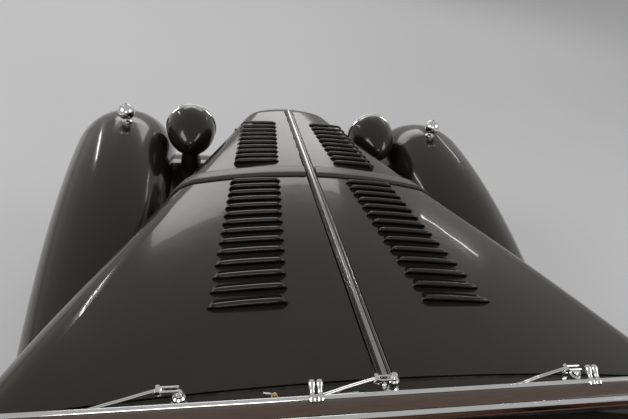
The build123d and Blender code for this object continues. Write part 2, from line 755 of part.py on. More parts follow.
def leaf_outline(reach, camber):
    """Draws a leaf spring pack from the side: a curved main leaf and shorter ones in steps
    under it. Its ends lie camber above its middle, where the top is at the origin."""
    steps = []
    for n in range(SPRING_LEAVES):
        half = reach * (1 - SPRING_STEP * n)
        level = camber * (half / reach) ** 2 - n * SPRING_LEAF
        steps += [(half, level), (half, level - SPRING_LEAF)]
    other = [(-y, z) for y, z in reversed(steps)]
    with BuildLine() as outline:
        Polyline(*steps, *other)
        ThreePointArc(other[-1], (0, 0), steps[0])
    make_face(outline.line)


def front_suspension():
    """Transverse leaf spring, lower wishbones and kingpin carriers, on their cross member."""
    x, leaf_x = FRONT_AXLE_X, at(SPRING_X)
    top = BODY_BOTTOM + 130
    shape = block((x - 60, x + 45), (-RAIL_Y + RAIL_WIDTH / 2, RAIL_Y - RAIL_WIDTH / 2), (300, 360))
    shape = shape + block((leaf_x - 30, leaf_x + 30), (-60, 60), (330, top - 10))
    with BuildPart() as spring:
        side_on = Plane(origin=(leaf_x - SPRING_WIDTH / 2, 0, top + 2), x_dir=(0, 1, 0), z_dir=(1, 0, 0))
        with BuildSketch(side_on):
            leaf_outline(KINGPIN_Y - 4, -SPRING_CAMBER)
        extrude(amount=SPRING_WIDTH)
    shape = shape + spring.part
    for sign in SIDES.values():
        pin_y = sign * KINGPIN_Y
        shape = shape + rod((x, pin_y, KINGPIN_FOOT), (x, pin_y, KINGPIN_TOP + 16), KINGPIN_RADIUS)
        shape = shape + block((leaf_x - 18, x + 14), (pin_y - 14, pin_y + 14), (KINGPIN_TOP, KINGPIN_TOP + 18))
        for reach in (-WISHBONE_REACH, WISHBONE_REACH):
            pivot = (x + reach, sign * (RAIL_Y - 10), 262)
            shape = shape + rod(pivot, (x, pin_y, KINGPIN_FOOT + 12), 13)
            shape = shape + rod(pivot, (x + reach * 0.2, sign * (RAIL_Y - 60), 318), 16)
        shape = shape + rod((x, pin_y, KINGPIN_FOOT), (x, pin_y, KINGPIN_FOOT + 26), 24)
    shape = shape - chassis_cut()
    keep("front_suspension", largest(shape))


def chassis_cut():
    """Space of the chassis rails beside the front axle, with a seat gap round it."""
    gap = SEAT_GAP
    spaces = [
        block(
            (0, at(RAIL_FRONT) + 60),
            sorted((sign * (RAIL_Y - RAIL_WIDTH / 2 - gap), sign * (RAIL_Y + RAIL_WIDTH / 2 + gap))),
            (BODY_BOTTOM - RAIL_DEPTH - 2 * gap, BODY_BOTTOM + gap),
        )
        for sign in SIDES.values()
    ]
    return spaces[0] + spaces[1]


def knuckles():
    """Steering knuckles: a bored upright on the kingpin, stub axle, backplate and arm."""
    for side, sign in SIDES.items():
        x, y = FRONT_AXLE_X, sign * KINGPIN_Y
        upright = rod((x, y, KNUCKLE_BOTTOM), (x, y, KNUCKLE_TOP), KINGPIN_RADIUS + 11)
        upright = upright + rod((x, y, AXLE_Z), (x, y + sign * STUB_LENGTH, AXLE_Z), STUB_RADIUS)
        plate_y = y + sign * 26
        upright = upright + rod((x, plate_y, AXLE_Z), (x, plate_y + sign * BACKPLATE_WALL, AXLE_Z), BACKPLATE_RADIUS)
        upright = upright + rod((x, y, AXLE_Z - 50), (x - 120, y - sign * 26, AXLE_Z - 50), 9)
        upright = upright - rod((x, y, 0), (x, y, 900), KINGPIN_RADIUS + RUNNING_GAP)
        keep(f"knuckle_{side}", largest(upright))


def tyre_solid():
    """Tyre about the Y axis, centred on the origin."""
    half = TYRE_WIDTH / 2
    bead = RIM_WIDTH / 2 - RIM_WALL - SEAT_GAP
    with BuildPart() as tyre:
        with BuildSketch(Plane.XY):
            with BuildLine():
                Line((RIM_RADIUS + SEAT_GAP, -bead), (RIM_RADIUS + SEAT_GAP, bead))
                Line((RIM_RADIUS + SEAT_GAP, bead), (RIM_RADIUS + RIM_LIP, bead))
                ThreePointArc((RIM_RADIUS + RIM_LIP, bead), (RIM_RADIUS + 68, half), (TYRE_RADIUS - 18, half - 16))
                ThreePointArc((TYRE_RADIUS - 18, half - 16), (TYRE_RADIUS, 0), (TYRE_RADIUS - 18, 16 - half))
                ThreePointArc((TYRE_RADIUS - 18, 16 - half), (RIM_RADIUS + 68, -half), (RIM_RADIUS + RIM_LIP, -bead))
                Line((RIM_RADIUS + RIM_LIP, -bead), (RIM_RADIUS + SEAT_GAP, -bead))
            make_face()
        revolve(axis=Axis.Y)
    return tyre.part


def rim_solid():
    """Rim of a wheel about the Y axis: a band with a lip on each side."""
    half = RIM_WIDTH / 2
    with BuildPart() as rim:
        with BuildSketch(Plane.XY):
            with BuildLine():
                Polyline(
                    (RIM_RADIUS - RIM_WALL, -half),
                    (RIM_RADIUS + RIM_LIP, -half),
                    (RIM_RADIUS + RIM_LIP, RIM_WALL - half),
                    (RIM_RADIUS, RIM_WALL - half),
                    (RIM_RADIUS, half - RIM_WALL),
                    (RIM_RADIUS + RIM_LIP, half - RIM_WALL),
                    (RIM_RADIUS + RIM_LIP, half),
                    (RIM_RADIUS - RIM_WALL, half),
                    close=True,
                )
            make_face()
        revolve(axis=Axis.Y)
    return rim.part


def wheel_solid(stub_radius, drum):
    """Centre of a disc wheel about the Y axis, outer face towards +Y: dished disc with round
    holes, hub, hub cap with its two-eared spinner and, on a running wheel, the brake drum."""
    with BuildPart() as wheel:
        with BuildSketch(Plane.XY):
            with BuildLine():
                rim = RIM_RADIUS - RIM_WALL - SEAT_GAP
                Line((HUB_RADIUS - 2, 8), (HUB_RADIUS - 2, 8 + DISC_WALL))
                ThreePointArc((HUB_RADIUS - 2, 8 + DISC_WALL), (140, 14 + DISC_DISH), (rim, 12))
                Line((rim, 12), (rim, 12 - DISC_WALL))
                ThreePointArc((rim, 12 - DISC_WALL), (140, 14 + DISC_DISH - DISC_WALL), (HUB_RADIUS - 2, 8))
            make_face()
        revolve(axis=Axis.Y)
        with BuildSketch(Plane.XZ.offset(-100)):
            with PolarLocations(DISC_HOLE_CIRCLE, DISC_HOLES):
                Circle(DISC_HOLE_RADIUS)
        extrude(amount=120, mode=Mode.SUBTRACT)
        with BuildSketch(Plane.XZ.offset(-HUB_CAP_LENGTH)):
            Circle(HUB_RADIUS)
        extrude(amount=HUB_CAP_LENGTH + 28, taper=-3)
        with BuildSketch(Plane.XZ.offset(-HUB_CAP_LENGTH)):
            SlotOverall(SPINNER_SPAN, SPINNER_WIDTH)
        extrude(amount=SPINNER_THICKNESS)
        if drum:
            inboard = 6 - DRUM_LENGTH
            with BuildSketch(Plane.XZ.offset(-8)):
                Circle(DRUM_RADIUS)
            extrude(amount=8 - inboard)
            with BuildSketch(Plane.XZ.offset(0)):
                Circle(DRUM_RADIUS - DRUM_WALL)
                Circle(HUB_RADIUS - 4, mode=Mode.SUBTRACT)
            extrude(amount=-inboard, mode=Mode.SUBTRACT)
        if stub_radius:
            with BuildSketch(Plane.XZ.offset(60)):
                Circle(stub_radius + RUNNING_GAP)
            extrude(amount=-102, mode=Mode.SUBTRACT)
    return wheel.part


def wheels():
    """Four running wheels with tyres, and the spare in the tail's recess."""
    Corner = namedtuple("Corner", "name x track sign stub")
    corners = [
        Corner("front_left", FRONT_AXLE_X, FRONT_TRACK, 1, STUB_RADIUS),
        Corner("front_right", FRONT_AXLE_X, FRONT_TRACK, -1, STUB_RADIUS),
        Corner("rear_left", REAR_AXLE_X, REAR_TRACK, 1, REAR_STUB_RADIUS),
        Corner("rear_right", REAR_AXLE_X, REAR_TRACK, -1, REAR_STUB_RADIUS),
    ]
    tyre, rim = tyre_solid(), rim_solid()
    for corner in corners:
        wheel = wheel_solid(corner.stub, True)
        place = Pos(corner.x, corner.sign * corner.track / 2, AXLE_Z)
        turn = Rot(0, 0, 0 if corner.sign > 0 else 180)
        keep(f"wheel_{corner.name}", place * turn * wheel)
        keep(f"rim_{corner.name}", place * turn * rim)
        keep(f"tyre_{corner.name}", place * turn * tyre)
    lift = spare_plane() * Pos(0, 0, TYRE_WIDTH / 2 + SEAT_GAP) * Rot(90, 0, 0)
    keep("spare_wheel", lift * wheel_solid(0, False))
    keep("spare_rim", lift * rim)
    keep("spare_tyre", lift * tyre)


def rear_axle():
    """Live axle with its differential, tubes and stub ends, and the two leaf springs."""
    x, z = REAR_AXLE_X, AXLE_Z
    end = REAR_TRACK / 2 - 44
    shape = rod((x, -end, z), (x, end, z), AXLE_TUBE_RADIUS)
    shape = shape + Pos(x, 0, z) * Sphere(DIFFERENTIAL_RADIUS, mode=Mode.PRIVATE)
    shape = shape + rod((x, 0, z), (x + 210, 0, z), 38)
    stub_end = REAR_TRACK / 2 + 38
    shape = shape + rod((x, -stub_end, z), (x, stub_end, z), REAR_STUB_RADIUS)
    for edge in (-end, end - 6):
        shape = shape + rod((x, edge, z), (x, edge + 6, z), BACKPLATE_RADIUS)
    keep("rear_axle", shape)
    springs = []
    for sign in SIDES.values():
        low = z - AXLE_TUBE_RADIUS - SEAT_GAP
        with BuildPart() as leaves:
            with BuildSketch(Plane(origin=(x, sign * REAR_SPRING_Y, low), x_dir=(1, 0, 0), z_dir=(0, -1, 0))):
                leaf_outline(REAR_SPRING_REACH, REAR_SPRING_CAMBER)
            extrude(amount=REAR_SPRING_WIDTH / 2, both=True)
        pack = leaves.part
        rise_z = z - AXLE_TUBE_RADIUS - SEAT_GAP + 40
        inner = sign * (RAIL_Y + RAIL_WIDTH / 2 + SEAT_GAP)
        for way in (-1, 1):
            eye_x = x + way * 424
            outer = sign * (REAR_SPRING_Y + REAR_SPRING_WIDTH / 2)
            pack = pack + rod((eye_x, inner, rise_z), (eye_x, outer, rise_z), 15)
        shackle = block((x - 440, x - 408), sorted((inner, inner + sign * 8)), (rise_z - 15, AXLE_Z + 120))
        pack = pack + shackle
        springs.append(pack)
    keep("rear_springs", Compound(children=springs))


def engine():
    """Engine and gearbox as plain blocks at their real place, with the propeller shaft."""
    front = at(ENGINE_FRONT)
    seat = BODY_BOTTOM - RAIL_DEPTH - CROSS_DROP + CROSS_RADIUS
    shape = block((front - ENGINE_LENGTH, front), (-ENGINE_WIDTH / 2, ENGINE_WIDTH / 2), (seat, ENGINE_TOP))
    keep("engine", shape)
    with BuildPart() as core:
        with Locations((at(RADIATOR_X), 0, RADIATOR_Z)):
            Box(RADIATOR_DEPTH, RADIATOR_WIDTH, RADIATOR_HEIGHT)
        foot_top = RADIATOR_Z - RADIATOR_HEIGHT / 2
        with Locations(*[(at(RADIATOR_X), y, (seat + foot_top) / 2) for y in (-150, 150)]):
            Box(30, 30, foot_top - seat)
    keep("radiator_core", core.part)
    z = AXLE_Z
    start, end = front - ENGINE_LENGTH - SEAT_GAP, REAR_AXLE_X + 210
    shaft = rod((start - 330, 0, z), (end + SEAT_GAP, 0, z), 30)
    box = rod((start - 330, 0, z), (start, 0, z), 32)
    keep("propeller_shaft", shaft + box)


def exhaust():
    """Pipe under the floor with a silencer and an open tail pipe."""
    start, end = at(ENGINE_FRONT - ENGINE_LENGTH + 60), at(TAIL_PIPE_END)
    middle = at(-1700)
    pipe = rod((start, EXHAUST_Y, EXHAUST_Z), (end, EXHAUST_Y, EXHAUST_Z), EXHAUST_RADIUS)
    half = SILENCER_LENGTH / 2
    pipe = pipe + rod((middle + half, EXHAUST_Y, EXHAUST_Z), (middle - half, EXHAUST_Y, EXHAUST_Z), SILENCER_RADIUS)
    pipe = pipe - rod((end - 1, EXHAUST_Y, EXHAUST_Z), (end + 400, EXHAUST_Y, EXHAUST_Z), EXHAUST_RADIUS - EXHAUST_WALL)
    hangers = (
        (at(CROSS_MEMBERS[-1]), BODY_BOTTOM - RAIL_DEPTH - CROSS_DROP - CROSS_RADIUS),
        (at(RAIL_REAR) + 40, TAIL_TUBE_Z - 0.8 * CROSS_RADIUS),
    )
    for x, top in hangers:
        span = (EXHAUST_Z + EXHAUST_RADIUS - 2, top - 2 * SEAT_GAP)
        pipe = pipe + block((x - 10, x + 10), (EXHAUST_Y - 5, EXHAUST_Y + 5), span)
    keep("exhaust", pipe)


def lamp_bowl(origin):
    """Headlamp shell that tapers to the rear: a rim, then two tangent arcs of revolution."""
    turn = radians(HEADLAMP_DOME_ANGLE)
    nose_share = (1 - sin(turn)) / cos(turn)
    side_radius = (HEADLAMP_BOWL - HEADLAMP_RADIUS * nose_share) / (sin(turn) - (1 - cos(turn)) * nose_share)
    tip_radius = (HEADLAMP_RADIUS - side_radius * (1 - cos(turn))) / cos(turn)
    with BuildPart() as bowl:
        with BuildSketch(Plane.XY):
            with BuildLine():
                Line((0, 0), (0, HEADLAMP_RADIUS))
                edge = Line((0, HEADLAMP_RADIUS), (-HEADLAMP_RIM, HEADLAMP_RADIUS))
                side = JernArc(edge @ 1, (-1, 0), side_radius, HEADLAMP_DOME_ANGLE)
                JernArc(side @ 1, side % 1, tip_radius, 90 - HEADLAMP_DOME_ANGLE)
                Line((-HEADLAMP_RIM - HEADLAMP_BOWL, 0), (0, 0))
            make_face()
        revolve(axis=Axis.X)
    return Pos(*origin) * bowl.part


def lamps():
    """Headlamps between wings and nose, their lenses, and the ball sidelamps on the wings."""
    bowls, lenses, balls = [], [], []
    for sign in SIDES.values():
        front = (at(HEADLAMP_X) + 70, sign * HEADLAMP_Y, HEADLAMP_Z)
        face = Plane(origin=front, x_dir=(0, 1, 0), z_dir=(1, 0, 0))
        bowl = lamp_bowl(face.origin)
        with BuildPart() as foot:
            with BuildSketch(Plane.XY.offset(HEADLAMP_Z - 40)):
                with Locations((at(HEADLAMP_X), sign * HEADLAMP_Y)):
                    Ellipse(HEADLAMP_FOOT_LENGTH / 2, HEADLAMP_FOOT_WIDTH / 2)
            extrude(amount=-(HEADLAMP_Z - 40 - HEADLAMP_FOOT_Z), taper=-8)
        bowls.append(bowl + foot.part)
        with BuildPart() as lens:
            with BuildSketch(face.offset(SEAT_GAP)):
                Circle(HEADLAMP_RADIUS - 4)
            extrude(amount=LENS_DEPTH, taper=35)
        lenses.append(lens.part)
        crest = FRONT_AXLE_X + SIDELAMP_X
        top = WING_FRONT_TIP_Z + WING_FRONT_RADIUS
        ball = Pos(crest, sign * SIDELAMP_Y, top + 34) * Sphere(SIDELAMP_RADIUS, mode=Mode.PRIVATE)
        stem = rod((crest, sign * SIDELAMP_Y, top - 4), (crest, sign * SIDELAMP_Y, top + 30), SIDELAMP_STEM)
        balls.append(ball + stem)
    return bowls, lenses, balls


def seats():
    """Two bucket cushions and backs."""
    cushions, backs = [], []
    floor = BODY_BOTTOM + WALL
    for sign in SIDES.values():
        x = at(SEAT_FRONT)
        with BuildPart() as cushion:
            with Locations((x - SEAT_LENGTH / 2, sign * SEAT_Y, floor + SEAT_GAP + SEAT_HEIGHT / 2)):
                Box(SEAT_LENGTH, SEAT_WIDTH, SEAT_HEIGHT)
            fillet(cushion.edges().filter_by(Axis.Z), 50)
        cushions.append(cushion.part)
        with BuildPart() as back:
            with BuildSketch(Plane.XZ.offset(-sign * SEAT_Y)):
                with BuildLine():
                    low = floor + SEAT_HEIGHT * 0.4
                    high = low + SEAT_BACK_HEIGHT
                    lean = SEAT_BACK_HEIGHT * tan(radians(SEAT_RAKE))
                    hip = x - SEAT_LENGTH - SEAT_GAP
                    top = (hip - lean, high), (hip - lean - SEAT_BACK_TOP, high)
                    Polyline((hip, low), *top, (hip - SEAT_BACK_FOOT, low), close=True)
                make_face()
            extrude(amount=SEAT_WIDTH / 2, both=True)
        backs.append(back.part)
    keep("seat_cushions", Compound(children=cushions))
    keep("seat_backs", Compound(children=backs))


def column():
    """Steering column from the wheel's hub down and forward, hung from the dashboard."""
    rake = radians(STEERING_RAKE)
    out = Vector(-sin(rake), 0, cos(rake))
    start = Vector(at(STEERING_X), STEERING_Y, STEERING_Z) - out * (8 + SEAT_GAP)
    shaft = rod(tuple(start), tuple(start - out * COLUMN_LENGTH), COLUMN_RADIUS)
    x = at(DASH_REAR)
    drop = (STEERING_X - DASH_REAR) / tan(rake)
    height = (STEERING_Z + drop, DASH_BOTTOM - SEAT_GAP)
    bracket = block((x, x + DASH_WALL), (STEERING_Y - 12, STEERING_Y + 12), height)
    return shaft + bracket


def steering():
    """Steering wheel with spokes on its raked column."""
    rake = radians(STEERING_RAKE)
    origin = (at(STEERING_X), STEERING_Y, STEERING_Z)
    out = (-sin(rake), 0, cos(rake))
    plane = Plane(origin=origin, x_dir=(0, 1, 0), z_dir=out)
    with BuildPart() as wheel:
        with BuildSketch(Plane(origin=origin, x_dir=(0, 1, 0), z_dir=plane.y_dir)):
            with Locations((WHEEL_RIM_RADIUS, 0)):
                Circle(WHEEL_RIM_SECTION)
        revolve(axis=Axis(origin, out))
        with BuildSketch(plane.offset(-8)):
            Circle(30)
            with PolarLocations(0, 3, start_angle=90):
                Rectangle(WHEEL_RIM_RADIUS - 4, 16, align=(Align.MIN, Align.CENTER))
        extrude(amount=8)
    keep("steering_wheel", wheel.part)
    keep("steering_column", column())


def rear_lamps():
    """Tail lamps on the rear wings."""
    solids = []
    for sign in SIDES.values():
        y = sign * REAR_WING_Y
        solids.append(rod((REAR_AXLE_X - 380, y, 610), (REAR_AXLE_X - 470, y, 610), 28))
    return solids


def export():
    """Writes one STEP file per piece."""
    os.makedirs("parts", exist_ok=True)
    for name, shape in PIECES.items():
        export_step(shape, f"parts/{name}.step")


def main():
    body_form = body()
    body_cut = form(BODY_FORM, SEAT_GAP)
    bonnet_cut = form(BONNET_FORM, MOVING_GAP) + form(NOSE_FORM, SEAT_GAP)
    bonnet()
    bonnet_hinge()
    straps()
    engine_sides()
    nose()
    front_wings(body_cut, bonnet_cut)
    rear_wings(body_cut)
    dashboard()
    windscreen(body_cut)
    wipers(body_cut)
    chassis()
    front_suspension()
    knuckles()
    wheels()
    rear_axle()
    engine()
    exhaust()
    bowls, lenses, balls = lamps()
    wing_left, wing_right = PIECES["front_wing_left"], PIECES["front_wing_right"]
    keep("headlamp_shells", Compound(children=[largest(b - w) for b, w in zip(bowls, (wing_left, wing_right))]))
    keep("headlamp_lenses", Compound(children=lenses))
    keep("sidelamps", Compound(children=[largest(b - w) for b, w in zip(balls, (wing_left, wing_right))]))
    seats()
    steering()
    lamps_rear = rear_lamps()
    wings = (PIECES["rear_wing_left"], PIECES["rear_wing_right"])
    keep("tail_lamps", Compound(children=[largest(b - w) for b, w in zip(lamps_rear, wings)]))
    export()


main()
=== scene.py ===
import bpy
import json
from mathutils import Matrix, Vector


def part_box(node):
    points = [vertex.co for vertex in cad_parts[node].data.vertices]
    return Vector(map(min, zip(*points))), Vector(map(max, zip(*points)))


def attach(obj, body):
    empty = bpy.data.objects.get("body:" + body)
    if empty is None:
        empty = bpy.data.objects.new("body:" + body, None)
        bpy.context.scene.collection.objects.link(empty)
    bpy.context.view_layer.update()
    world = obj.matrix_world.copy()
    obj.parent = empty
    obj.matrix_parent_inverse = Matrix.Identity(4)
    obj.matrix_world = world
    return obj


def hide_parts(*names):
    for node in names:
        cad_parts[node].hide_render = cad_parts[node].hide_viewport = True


bl_info = {
    "name": "Roadster looks",
    "version": (1, 0, 0),
    "blender": (4, 5, 0),
    "location": "3D View > Sidebar > Roadster",
    "description": "Dresses the packed roadster: paint, chrome, leather, tyres, lamps and cockpit",
    "category": "Object",
}

import json
from math import atan2, cos, pi, radians, sin, sqrt

import bmesh
import bpy
import numpy as np
from bpy.props import FloatProperty, FloatVectorProperty, PointerProperty
from mathutils import Matrix, Vector
from mathutils.bvhtree import BVHTree

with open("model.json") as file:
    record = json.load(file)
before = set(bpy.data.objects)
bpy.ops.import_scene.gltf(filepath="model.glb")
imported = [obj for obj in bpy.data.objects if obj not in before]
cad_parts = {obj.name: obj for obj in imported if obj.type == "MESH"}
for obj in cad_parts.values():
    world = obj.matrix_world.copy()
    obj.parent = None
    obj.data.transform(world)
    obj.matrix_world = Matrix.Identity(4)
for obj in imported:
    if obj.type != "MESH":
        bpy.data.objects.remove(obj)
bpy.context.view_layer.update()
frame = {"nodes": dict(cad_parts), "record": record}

MM = 0.001
FRONT_AXLE = 1.495
REAR_AXLE = -0.905
AXLE_Z = 0.340
SIDES = {"left": 1.0, "right": -1.0}


def at(x):
    """Car coordinate in metres of a distance in millimetres from the front axle."""
    return FRONT_AXLE + x * MM


# ---------------------------------------------------------------------------------------
# Shader expressions


class Wire:
    """A shader socket that Python arithmetic can be written on; each operation adds a node."""

    def __init__(self, finish, socket):
        self.finish, self.socket = finish, socket

    def _math(self, operation, *values):
        return self.finish.node("ShaderNodeMath", {"operation": operation}, *values)

    def __add__(self, other):
        return self._math("ADD", self, other)

    def __sub__(self, other):
        return self._math("SUBTRACT", self, other)

    def __mul__(self, other):
        return self._math("MULTIPLY", self, other)

    def __truediv__(self, other):
        return self._math("DIVIDE", self, other)

    def __rsub__(self, other):
        return self._math("SUBTRACT", other, self)

    def __rtruediv__(self, other):
        return self._math("DIVIDE", other, self)

    def __pow__(self, other):
        return self._math("POWER", self, other)

    def __neg__(self):
        return self * -1.0

    def __abs__(self):
        return self._math("ABSOLUTE", self)

    def __gt__(self, other):
        return self._math("GREATER_THAN", self, other)

    def __lt__(self, other):
        return self._math("LESS_THAN", self, other)

    def sine(self):
        return self._math("SINE", self)

    def fraction(self):
        return self._math("FRACT", self)

    def arc(self, other):
        return self._math("ARCTAN2", self, other)

    def rise(self, low, high):
        """0 below low, 1 above high, smooth between."""
        settings = {"interpolation_type": "SMOOTHSTEP"}
        return self.finish.node("ShaderNodeMapRange", settings, self, low, high)

    __radd__ = __add__
    __rmul__ = __mul__


class Finish:
    """A material under construction, around one Principled shader."""

    def __init__(self, name):
        self.material = bpy.data.materials.new(name)
        self.material.use_nodes = True
        self.tree = self.material.node_tree
        self.shader = self.tree.nodes["Principled BSDF"]

    def node(self, kind, settings=None, *values, output=0, **sockets):
        """Adds a node: settings first, then its sockets by order or by name."""
        made = self.tree.nodes.new(kind)
        for key, value in (settings or {}).items():
            setattr(made, key, value)
        for key, value in list(enumerate(values)) + list(sockets.items()):
            key = key.replace("_", " ") if isinstance(key, str) else key
            self._feed(made.inputs[key], value)
        return Wire(self, made.outputs[output])

    def _feed(self, socket, value):
        if isinstance(value, Wire):
            self.tree.links.new(value.socket, socket)
        elif socket.type == "RGBA" and len(value) == 3:
            socket.default_value = (*value, 1.0)
        else:
            socket.default_value = value

    def place(self, scale=(1, 1, 1), turn=(0, 0, 0), shift=(0, 0, 0)):
        """Object coordinates, scaled and turned."""
        coordinates = self.node("ShaderNodeTexCoord", output="Object")
        if (scale, turn, shift) == ((1, 1, 1), (0, 0, 0), (0, 0, 0)):
            return coordinates
        return self.node(
            "ShaderNodeMapping", None, Vector=coordinates, Scale=scale, Rotation=turn, Location=shift
        )

    def axes(self, vector=None):
        """The x, y and z parts of a vector, by default of the object coordinates."""
        vector = vector or self.place()
        split = self.tree.nodes.new("ShaderNodeSeparateXYZ")
        self.tree.links.new(vector.socket, split.inputs[0])
        return [Wire(self, split.outputs[i]) for i in range(3)]

    def noise(self, scale, detail=4.0, roughness=0.55, vector=None):
        vector = vector or self.place()
        return self.node(
            "ShaderNodeTexNoise", None, Vector=vector, Scale=scale, Detail=detail, Roughness=roughness
        )

    def cells(self, scale, feature="F1", vector=None, randomness=1.0):
        vector = vector or self.place()
        return self.node(
            "ShaderNodeTexVoronoi", {"feature": feature}, Vector=vector, Scale=scale, Randomness=randomness
        )

    def blend(self, share, one, other):
        """Colour between one and other by share."""
        made = self.tree.nodes.new("ShaderNodeMix")
        made.data_type = "RGBA"
        for socket, value in zip((made.inputs[0], made.inputs[6], made.inputs[7]), (share, one, other)):
            self._feed(socket, value)
        return Wire(self, made.outputs[2])

    def relief(self, height, distance, strength=1.0, under=None):
        """Normal of a bump whose full height is distance metres."""
        sockets = {"Height": height, "Distance": distance, "Strength": strength}
        if under is not None:
            sockets["Normal"] = under
        return self.node("ShaderNodeBump", None, **sockets)

    def set(self, **values):
        """Sets the shader's own sockets, spaces written as underscores."""
        for key, value in values.items():
            self._feed(self.shader.inputs[key.replace("_", " ")], value)
        return self

    def done(self):
        return self.material


# ---------------------------------------------------------------------------------------
# Surfaces


def circle(segments, radius=1.0, start=0.0):
    """Points (cos, sin) times radius at equal angles round a circle."""
    angle = start + np.arange(segments) * 2 * pi / segments
    return np.stack([np.cos(angle), np.sin(angle)], axis=1) * radius


def frames(path, closed=False, up=(0, 0, 1)):
    """Tangent, side and top of a path's points: the side is the tangent crossed with up."""
    path = np.asarray(path, float)
    if closed:
        tangent = np.roll(path, -1, axis=0) - np.roll(path, 1, axis=0)
    else:
        tangent = np.gradient(path, axis=0)
    tangent /= np.linalg.norm(tangent, axis=1, keepdims=True)
    side = np.cross(tangent, np.broadcast_to(np.asarray(up, float), tangent.shape))
    side /= np.linalg.norm(side, axis=1, keepdims=True)
    return tangent, side, np.cross(side, tangent)


def carried(path, profile, closed=False, up=(0, 0, 1)):
    """Grid of a profile (side, top) carried along a path; profile may differ point by point."""
    path = np.asarray(path, float)
    _, side, top = frames(path, closed, up)
    profile = np.broadcast_to(np.asarray(profile, float), (len(path),) + np.shape(profile)[-2:])
    return path[:, None] + profile[..., :1] * side[:, None] + profile[..., 1:] * top[:, None]


def turned(profile, origin, axis, segments=48):
    """Grid of a profile (along the axis, radius) turned about an axis."""
    axis = np.asarray(axis, float) / np.linalg.norm(axis)
    seed = np.array([0, 0, 1.0]) if abs(axis[2]) < 0.9 else np.array([1.0, 0, 0])
    side = np.cross(seed, axis)
    side /= np.linalg.norm(side)
    top = np.cross(axis, side)
    profile, ring = np.asarray(profile, float), circle(segments)
    spoke = ring[:, :1] * side + ring[:, 1:] * top
    return np.asarray(origin, float) + profile[:, None, :1] * axis + profile[:, None, 1:] * spoke[None]


def smooth_line(points, count):
    """Catmull-Rom curve through the points, count samples."""
    points = np.asarray(points, float)
    padded = np.vstack([2 * points[0] - points[1], points, 2 * points[-1] - points[-2]])
    t = np.linspace(0, len(points) - 1, count)
    i = np.minimum(t.astype(int), len(points) - 2)
    f = (t - i)[:, None]
    a, b, c, d = padded[i], padded[i + 1], padded[i + 2], padded[i + 3]
    return 0.5 * (2 * b + (c - a) * f + (2 * a - 5 * b + 4 * c - d) * f**2 + (3 * b - a - 3 * c + d) * f**3)


def wrapped(node, xs, angles, centre_z=0.6):
    """Outermost points of a CAD node at each x, by the angle from upright about a line in the
    middle plane, and the outward normals there, found by rays towards that line."""
    tree = BVHTree.FromObject(frame["nodes"][node], bpy.context.evaluated_depsgraph_get())
    points, normals = np.zeros((len(xs), len(angles), 3)), np.zeros((len(xs), len(angles), 3))
    for i, x in enumerate(xs):
        for j, angle in enumerate(angles):
            way = Vector((0, sin(angle), cos(angle)))
            spot, normal, _, _ = tree.ray_cast(Vector((x, 0, centre_z)) + way * 1.5, -way)
            if spot is None:
                raise ValueError(f"{node} is missed at x {x:.3f}, angle {angle:.3f}")
            points[i, j], normals[i, j] = spot, normal if normal.dot(way) > 0 else -normal
    return points, normals


def deck_height(x, y):
    """Height of the scuttle and tail deck: a wide arc whose crown falls between stations."""
    stations = np.array([at(d) for d in (-3420, -2750, -2250, -1730, -1260)])
    top = np.interp(x, stations, [0.575, 0.800, 0.915, 0.978, 0.975])
    arc = np.interp(x, stations, [0.5, 1.6, 3.0, 4.0, 4.0])
    return top - arc + np.sqrt(arc**2 - np.asarray(y) ** 2)


def pillow(half_x, half_y, depth, crown, bulge, pleats=0, sink=0.006, corner=0.35, samples=(56, 120)):
    """Closed cushion of a crowned, pleated top, bulging sides and a flat underside.

    Square coordinates u, v are rounded at the corners; the top rises by crown towards the
    middle, and pleats run along x inside a plain border. Grids: top, side band, underside."""
    u, v = np.meshgrid(np.linspace(-1, 1, samples[0]), np.linspace(-1, 1, samples[1]), indexing="ij")
    x = half_x * u * np.sqrt(1 - corner * 0.5 * v**8)
    y = half_y * v * np.sqrt(1 - corner * 0.5 * u**8)
    dome = (1 - u**4) * (1 - v**4)
    height = crown * dome
    if pleats:
        inside = np.clip((0.80 - np.abs(u)) / 0.10, 0, 1) * np.clip((0.84 - np.abs(v)) / 0.06, 0, 1)
        wave = np.abs(np.sin(v * pleats * pi / (2 * 0.84)))
        height = height + inside * (sink * 1.4 * np.sqrt(wave) - sink)
        edge = np.exp(-(((np.abs(u) - 0.82) / 0.02) ** 2)) * (np.abs(v) < 0.85)
        edge = np.maximum(edge, np.exp(-(((np.abs(v) - 0.86) / 0.012) ** 2)) * (np.abs(u) < 0.83))
        height = height - 0.6 * sink * edge
    top = np.stack([x, y, depth / 2 + height], axis=-1)
    under = np.stack([x, y, np.full_like(x, -depth / 2)], axis=-1)

    def border(grid):
        return np.vstack([grid[:-1, 0], grid[-1, :-1], grid[:0:-1, -1], grid[0, :0:-1]])

    share = np.linspace(0, 1, 13)[:, None, None]
    rim, base = border(top), border(under)
    out = rim * [1, 1, 0]
    out = out / np.linalg.norm(out, axis=1, keepdims=True)
    band = rim * (1 - share) + base * share + out * bulge * np.sin(share * pi)
    return top, band, under, rim


